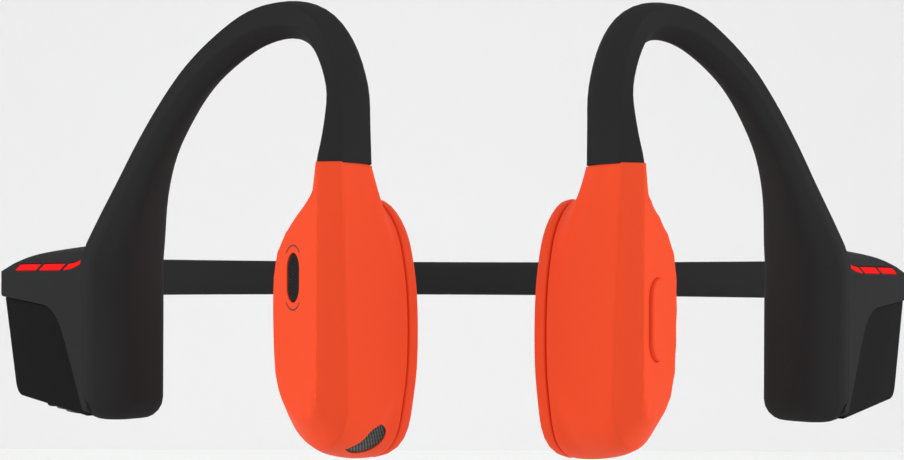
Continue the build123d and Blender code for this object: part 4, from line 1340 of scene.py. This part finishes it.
    def skin(self) -> Piece:
        """Model the silicone skin of hook and housing as one piece."""
        skin = self.housing().join(Hook(self.frame.side).build())
        skin.body.name = f"{self.word}_skin"
        skin.cut(self.prism("recess", self.cover_outline(0), self.case_top, 1))
        skin.cut(self.prism("case_room", box(self.case_x, self.case_y),
                            self.case_top - self.case_depth, self.case_top + 0.1))
        for index in range(len(self.lights)):
            skin.cut(self.light(index, self.light_gap, f"slot_{index}"))
        return skin.cut(self.socket())

    def build(self) -> None:
        """Build the arm's pieces and dress them."""
        arm = f"{self.word}_arm"
        skin = self.skin()
        if self.frame.side is Side.RIGHT:
            Underside(self.frame, self.palette).build(skin)
        skin.finish(self.palette, "black_silicone", arm, f"{self.word}_arm_overmold")
        self.cover().finish(self.palette, "black_cover", arm, f"{self.word}_side_cover")
        for index in range(len(self.lights)):
            light = self.light(index, 0.0, f"{self.word}_light_{index + 1}").round(self.light_round)
            light.finish(self.palette, "red_light_pipe", arm, f"{self.word}_light_pipes")


@dataclass
class Underside(SidePart):
    """The right housing's underside: two volume buttons and the charging port.

    A round edge is a list of insets with their height above the face. Each button has its name, the
    middle and the length of its cap, and its stem's place along the housing.
    """

    middle: float = -5.5
    face: float = -17.9
    cap_top: float = -15.38
    travel: float = 0.35
    play: float = 0.03
    width: float = 3.0
    slide: float = 0.08
    cap_edge: Sequence[Pair] = ((0.6, 0), (0.25, 0.04), (0.08, 0.14), (0, 0.32))
    flange: float = 0.6
    flange_thickness: float = 0.4
    stem_radius: float = 0.55
    stem_top: float = -14.4
    stem_shift: float = 0.4
    buttons: Sequence[tuple[str, float, float, float]] = (
        ("volume_minus", -7.3, 5.0, -7.3), ("volume_plus", -22.6, 3.4, -22.1))
    port: tuple[float, float, float] = (-15.4, 9.2, 4.4)
    port_face: float = -17.8
    port_edge: Sequence[Pair] = ((0.3, 0), (0.09, 0.09), (0, 0.3))
    port_back: float = -14.0
    port_gap: float = 0.05
    port_pad: tuple[float, float, float] = (5.3, 2.6, 0.35)
    pad_edge: float = 0.1
    pin_pitch: float = 2.4
    pin_radius: float = 0.5

    def at(self, x: float, y: float, z: float) -> Vector:
        """Return a point of the underside, y outwards and z up, in the frame of the CAD."""
        return self.frame.at(x, z, y)

    def cap(self, x: float, length: float, inset: float, flange: bool = False) -> Outline:
        """Return the outline of a button's cap, or of its flange."""
        extra = self.flange if flange else 0
        return pill((x, self.middle), length + extra, self.width + extra, inset, upright=False)

    def port_outline(self, inset: float, pad: bool = False) -> Outline:
        """Return the outline of the charging port, or of its pad."""
        length, width = self.port_pad[:2] if pad else self.port[1:]
        return pill((self.port[0], self.middle), length, width, inset, upright=False)

    def button(self, name: str, x: float, length: float, stem_x: float) -> None:
        """Build one volume button.

        Args:
            name: of its body.
            x: its centre along the housing.
            length: of the cap.
            stem_x: the stem's place along the housing.
        """
        outlines = [(self.cap(x, length, inset), self.face + rise) for inset, rise in self.cap_edge]
        shoulder = self.cap_top - self.flange_thickness
        outlines += [(self.cap(x, length, 0), shoulder), (self.cap(x, length, 0, True), shoulder),
                     (self.cap(x, length, 0, True), self.cap_top)]
        button = self.stack(f"{name}_cap", outlines)
        stem = disc((stem_x, self.middle - self.stem_shift), self.stem_radius)
        button.join(self.prism("stem", stem, self.cap_top - 0.2, self.stem_top))
        button.finish(self.palette, "black_silicone", name, f"{name}_button")

    def charge_port(self) -> None:
        """Build the charging port with its raised pad."""
        levels = [(self.port_outline(inset), self.port_face + rise) for inset, rise in self.port_edge]
        levels.append((self.port_outline(0), self.port_back))
        body = self.stack("charging_port", levels)
        low = self.port_face - self.port_pad[2]
        body.join(self.stack("pad", [
            (self.port_outline(inset, pad=True), height) for inset, height in (
                (self.pad_edge, low), (0, low + self.pad_edge), (0, self.port_face + 0.2))]))
        for step in (-0.5, 0.5):
            pin = disc((self.port[0] + step * self.pin_pitch, self.middle), self.pin_radius)
            body.cut(self.prism("pin", pin, low - 1, low + 0.1))
        body.finish(self.palette, "black_plastic", "right_arm", "charge_port")

    def build(self, skin: Piece) -> None:
        """Cut the openings and place buttons and port.

        Args:
            skin: the arm's skin.
        """
        low = self.face - 1
        roof = self.cap_top + self.travel + self.play
        shoulder = self.cap_top - self.flange_thickness - self.slide
        for name, x, length, stem_x in self.buttons:
            narrow, wide = (self.cap(x, length, -self.slide, flange) for flange in (False, True))
            skin.cut(self.stack("button_room", [
                (narrow, low), (narrow, shoulder), (wide, shoulder), (wide, roof)]))
            self.button(name, x, length, stem_x)
        skin.cut(self.prism("port_room", self.port_outline(-self.port_gap), low, self.port_back))
        self.charge_port()


# ------------ neckband


@dataclass
class Neckband:
    """The neckband's sleeve, spring wire and cable, in two halves, one for each side."""

    path: BandPath
    palette: Palette
    height: float = 6.0
    thickness: float = 3.0
    edge: float = 1.35
    belly: float = 0.3
    pitch: float = 1.4
    wire_radius: float = 0.65
    cable_radius: float = 0.55
    roundness: float = 0.999
    reach: float = 2.5
    parts: int = 56
    bend: Pair = (4.0, 40.0)
    bend_depth: float = 0.0482

    def stations(self, reach: float) -> list[float]:
        """Return even distances along half the band, as far as a reach beyond the sleeve."""
        half = self.path.half + reach
        return [half * step / self.parts for step in range(self.parts + 1)]

    def half(self, side: Side) -> None:
        """Build the pieces of one side's half."""
        sleeve = Piece.loft(f"{side.word}_sleeve", [
            self.path.section(distance, self.height, self.thickness, self.edge, side, self.belly)
            for distance in self.stations(0)])
        core = self.wire(f"{side.word}_band_wire", side, self.wire_radius, self.pitch)
        cable = self.wire(f"{side.word}_band_cable", side, self.cable_radius, -self.pitch)
        for piece, slot, node in ((sleeve, "black_silicone", "neckband_sleeve"),
                                  (core, "titanium_wire", "neckband_core"),
                                  (cable, "cable_jacket", "neckband_cable")):
            shown = piece.finish(self.palette, slot, None, node)
            ends = [(side.value * x * MM, self.bend_depth, self.path.level * MM) for x in self.bend]
            f"{side.word}_arm"
            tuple(ends[0])
            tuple(ends[1])
            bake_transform(shown)

    def wire(self, name: str, side: Side, radius: float, rise: float) -> Piece:
        """Model half of a round wire inside the sleeve, raised above the band's centre line."""
        size, edge = 2 * radius, radius * self.roundness
        return Piece.loft(name, [
            [place + Vector((0, 0, rise * MM))
             for place in self.path.section(distance, size, size, edge, side)]
            for distance in self.stations(self.reach)])

    def build(self) -> None:
        """Build both halves."""
        for side in Side:
            self.half(side)


# ------------ studio


@dataclass
class Studio:
    """Pale floor and backdrop, soft lights and the camera; lengths in metres."""

    eye: Point = (-0.0123, -0.204, 0.0213)
    lens: float = 55.3
    shift: Pair = (0.0940, 0.0531)
    roll: float = 0.004
    pale: Colour = linear(244, 244, 244)
    floor: float = -0.5
    fill: float = 0.48
    side_light: float = 0.44
    side_heading: Point = (0.9, 0.2, -0.36)
    side_softness: float = 40
    top_light: float = 0.03
    top_heading: Point = (0, 0.5, -0.85)
    top_softness: float = 60
    wall_light: float = 17.0
    panel_size: float = 4
    panel_place: Point = (0, 1, 1)
    sheet_size: float = 12
    sheet_place: float = -2
    wall_height: float = 6

    def place(self, name: str, data: bpy.types.ID, matrix: Matrix) -> bpy.types.Object:
        """Put a camera or a light into the scene."""
        thing = bpy.data.objects.new(name, data)
        thing.matrix_world = matrix
        bpy.context.scene.collection.objects.link(thing)
        return thing

    def camera(self) -> None:
        """Set the camera level with the neckband, in front of the pods."""
        data = bpy.data.cameras.new("camera")
        data.lens = self.lens
        data.sensor_width = 36
        data.shift_x, data.shift_y = self.shift
        data.clip_start = 0.01
        bpy.context.scene.camera = self.place("camera", data, (
            Matrix.Translation(self.eye) @ Matrix.Rotation(math.pi / 2, 4, "X")
            @ Matrix.Rotation(self.roll, 4, "Z")))

    def sun(self, heading: Point, strength: float, softness: float) -> None:
        """Light the room evenly from one direction, softly.

        Args:
            heading: the way the light travels.
            strength: of the light.
            softness: how wide the source looks, in degrees.
        """
        data = bpy.data.lights.new("sky", "SUN")
        data.energy = strength
        data.angle = math.radians(softness)
        self.place("sky", data, Vector(heading).to_track_quat("-Z", "Y").to_matrix().to_4x4())

    def wall_wash(self) -> None:
        """Light the wall alone from a large panel that faces it."""
        data = bpy.data.lights.new("wall_wash", "AREA")
        data.size = self.panel_size
        data.energy = self.wall_light
        self.place("wall_wash", data,
                   Matrix.Translation(self.panel_place) @ Matrix.Rotation(math.pi / 2, 4, "X"))

    def backdrop(self) -> None:
        """Make the floor and the wall behind as one folded sheet."""
        clear()
        bpy.ops.mesh.primitive_plane_add(size=self.sheet_size, location=(0, self.sheet_place, self.floor))
        sheet = bpy.context.object
        sheet.name = "backdrop"
        bpy.ops.object.transform_apply(location=True)
        bpy.ops.object.mode_set(mode="EDIT")
        bpy.ops.mesh.select_mode(type="EDGE")
        bpy.ops.mesh.select_all(action="DESELECT")
        form = bmesh.from_edit_mesh(sheet.data)
        for edge in form.edges:
            edge.select = all(vertex.co.y > 0 for vertex in edge.verts)
        bpy.ops.mesh.extrude_region_move(TRANSFORM_OT_translate={"value": (0, 0, self.wall_height)})
        bpy.ops.object.mode_set(mode="OBJECT")
        graph = Graph("backdrop")
        graph.set(Base_Color=self.pale, Roughness=1.0, Specular_IOR_Level=0.0)
        sheet.data.materials.append(graph.material)

    def world(self) -> None:
        """Fill the room with even white light."""
        world = bpy.data.worlds.new("room")
        world.use_nodes = True
        background = world.node_tree.nodes["Background"]
        background.inputs["Color"].default_value = (1, 1, 1, 1)
        background.inputs["Strength"].default_value = self.fill
        bpy.context.scene.world = world

    def build(self) -> None:
        """Build the whole studio."""
        bpy.context.scene.view_settings.view_transform = "Standard"
        self.camera()
        self.backdrop()
        self.world()
        across, back, down = self.side_heading
        for sign in (-1, 1):
            self.sun((sign * across, back, down), self.side_light * math.pi, self.side_softness)
        self.sun(self.top_heading, self.top_light * math.pi, self.top_softness)
        self.wall_wash()


def dress_frame(frame: dict, palette: Palette) -> None:
    """Give each CAD node the finish of its material slot."""
    slots = {part["node"]: part["material_slot"] for part in frame["record"]["subparts"]}
    for name, node in frame["nodes"].items():
        node.data.materials.clear()
        node.data.materials.append(palette.material(slots[name]))


def main() -> None:
    """Build the headphones and the studio."""
    logging.basicConfig(level=logging.INFO, format="%(message)s")
    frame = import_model()
    palette = Palette()
    dress_frame(frame, palette)
    for side in Side:
        Pod(SideFrame(side, POD_CENTRE), palette).build()
        Arm(SideFrame(side, HOUSING_CREASE), palette, BandPath()).build()
    Neckband(BandPath(), palette).build()
    Studio().build()


if __name__ == "__main__":
    main()
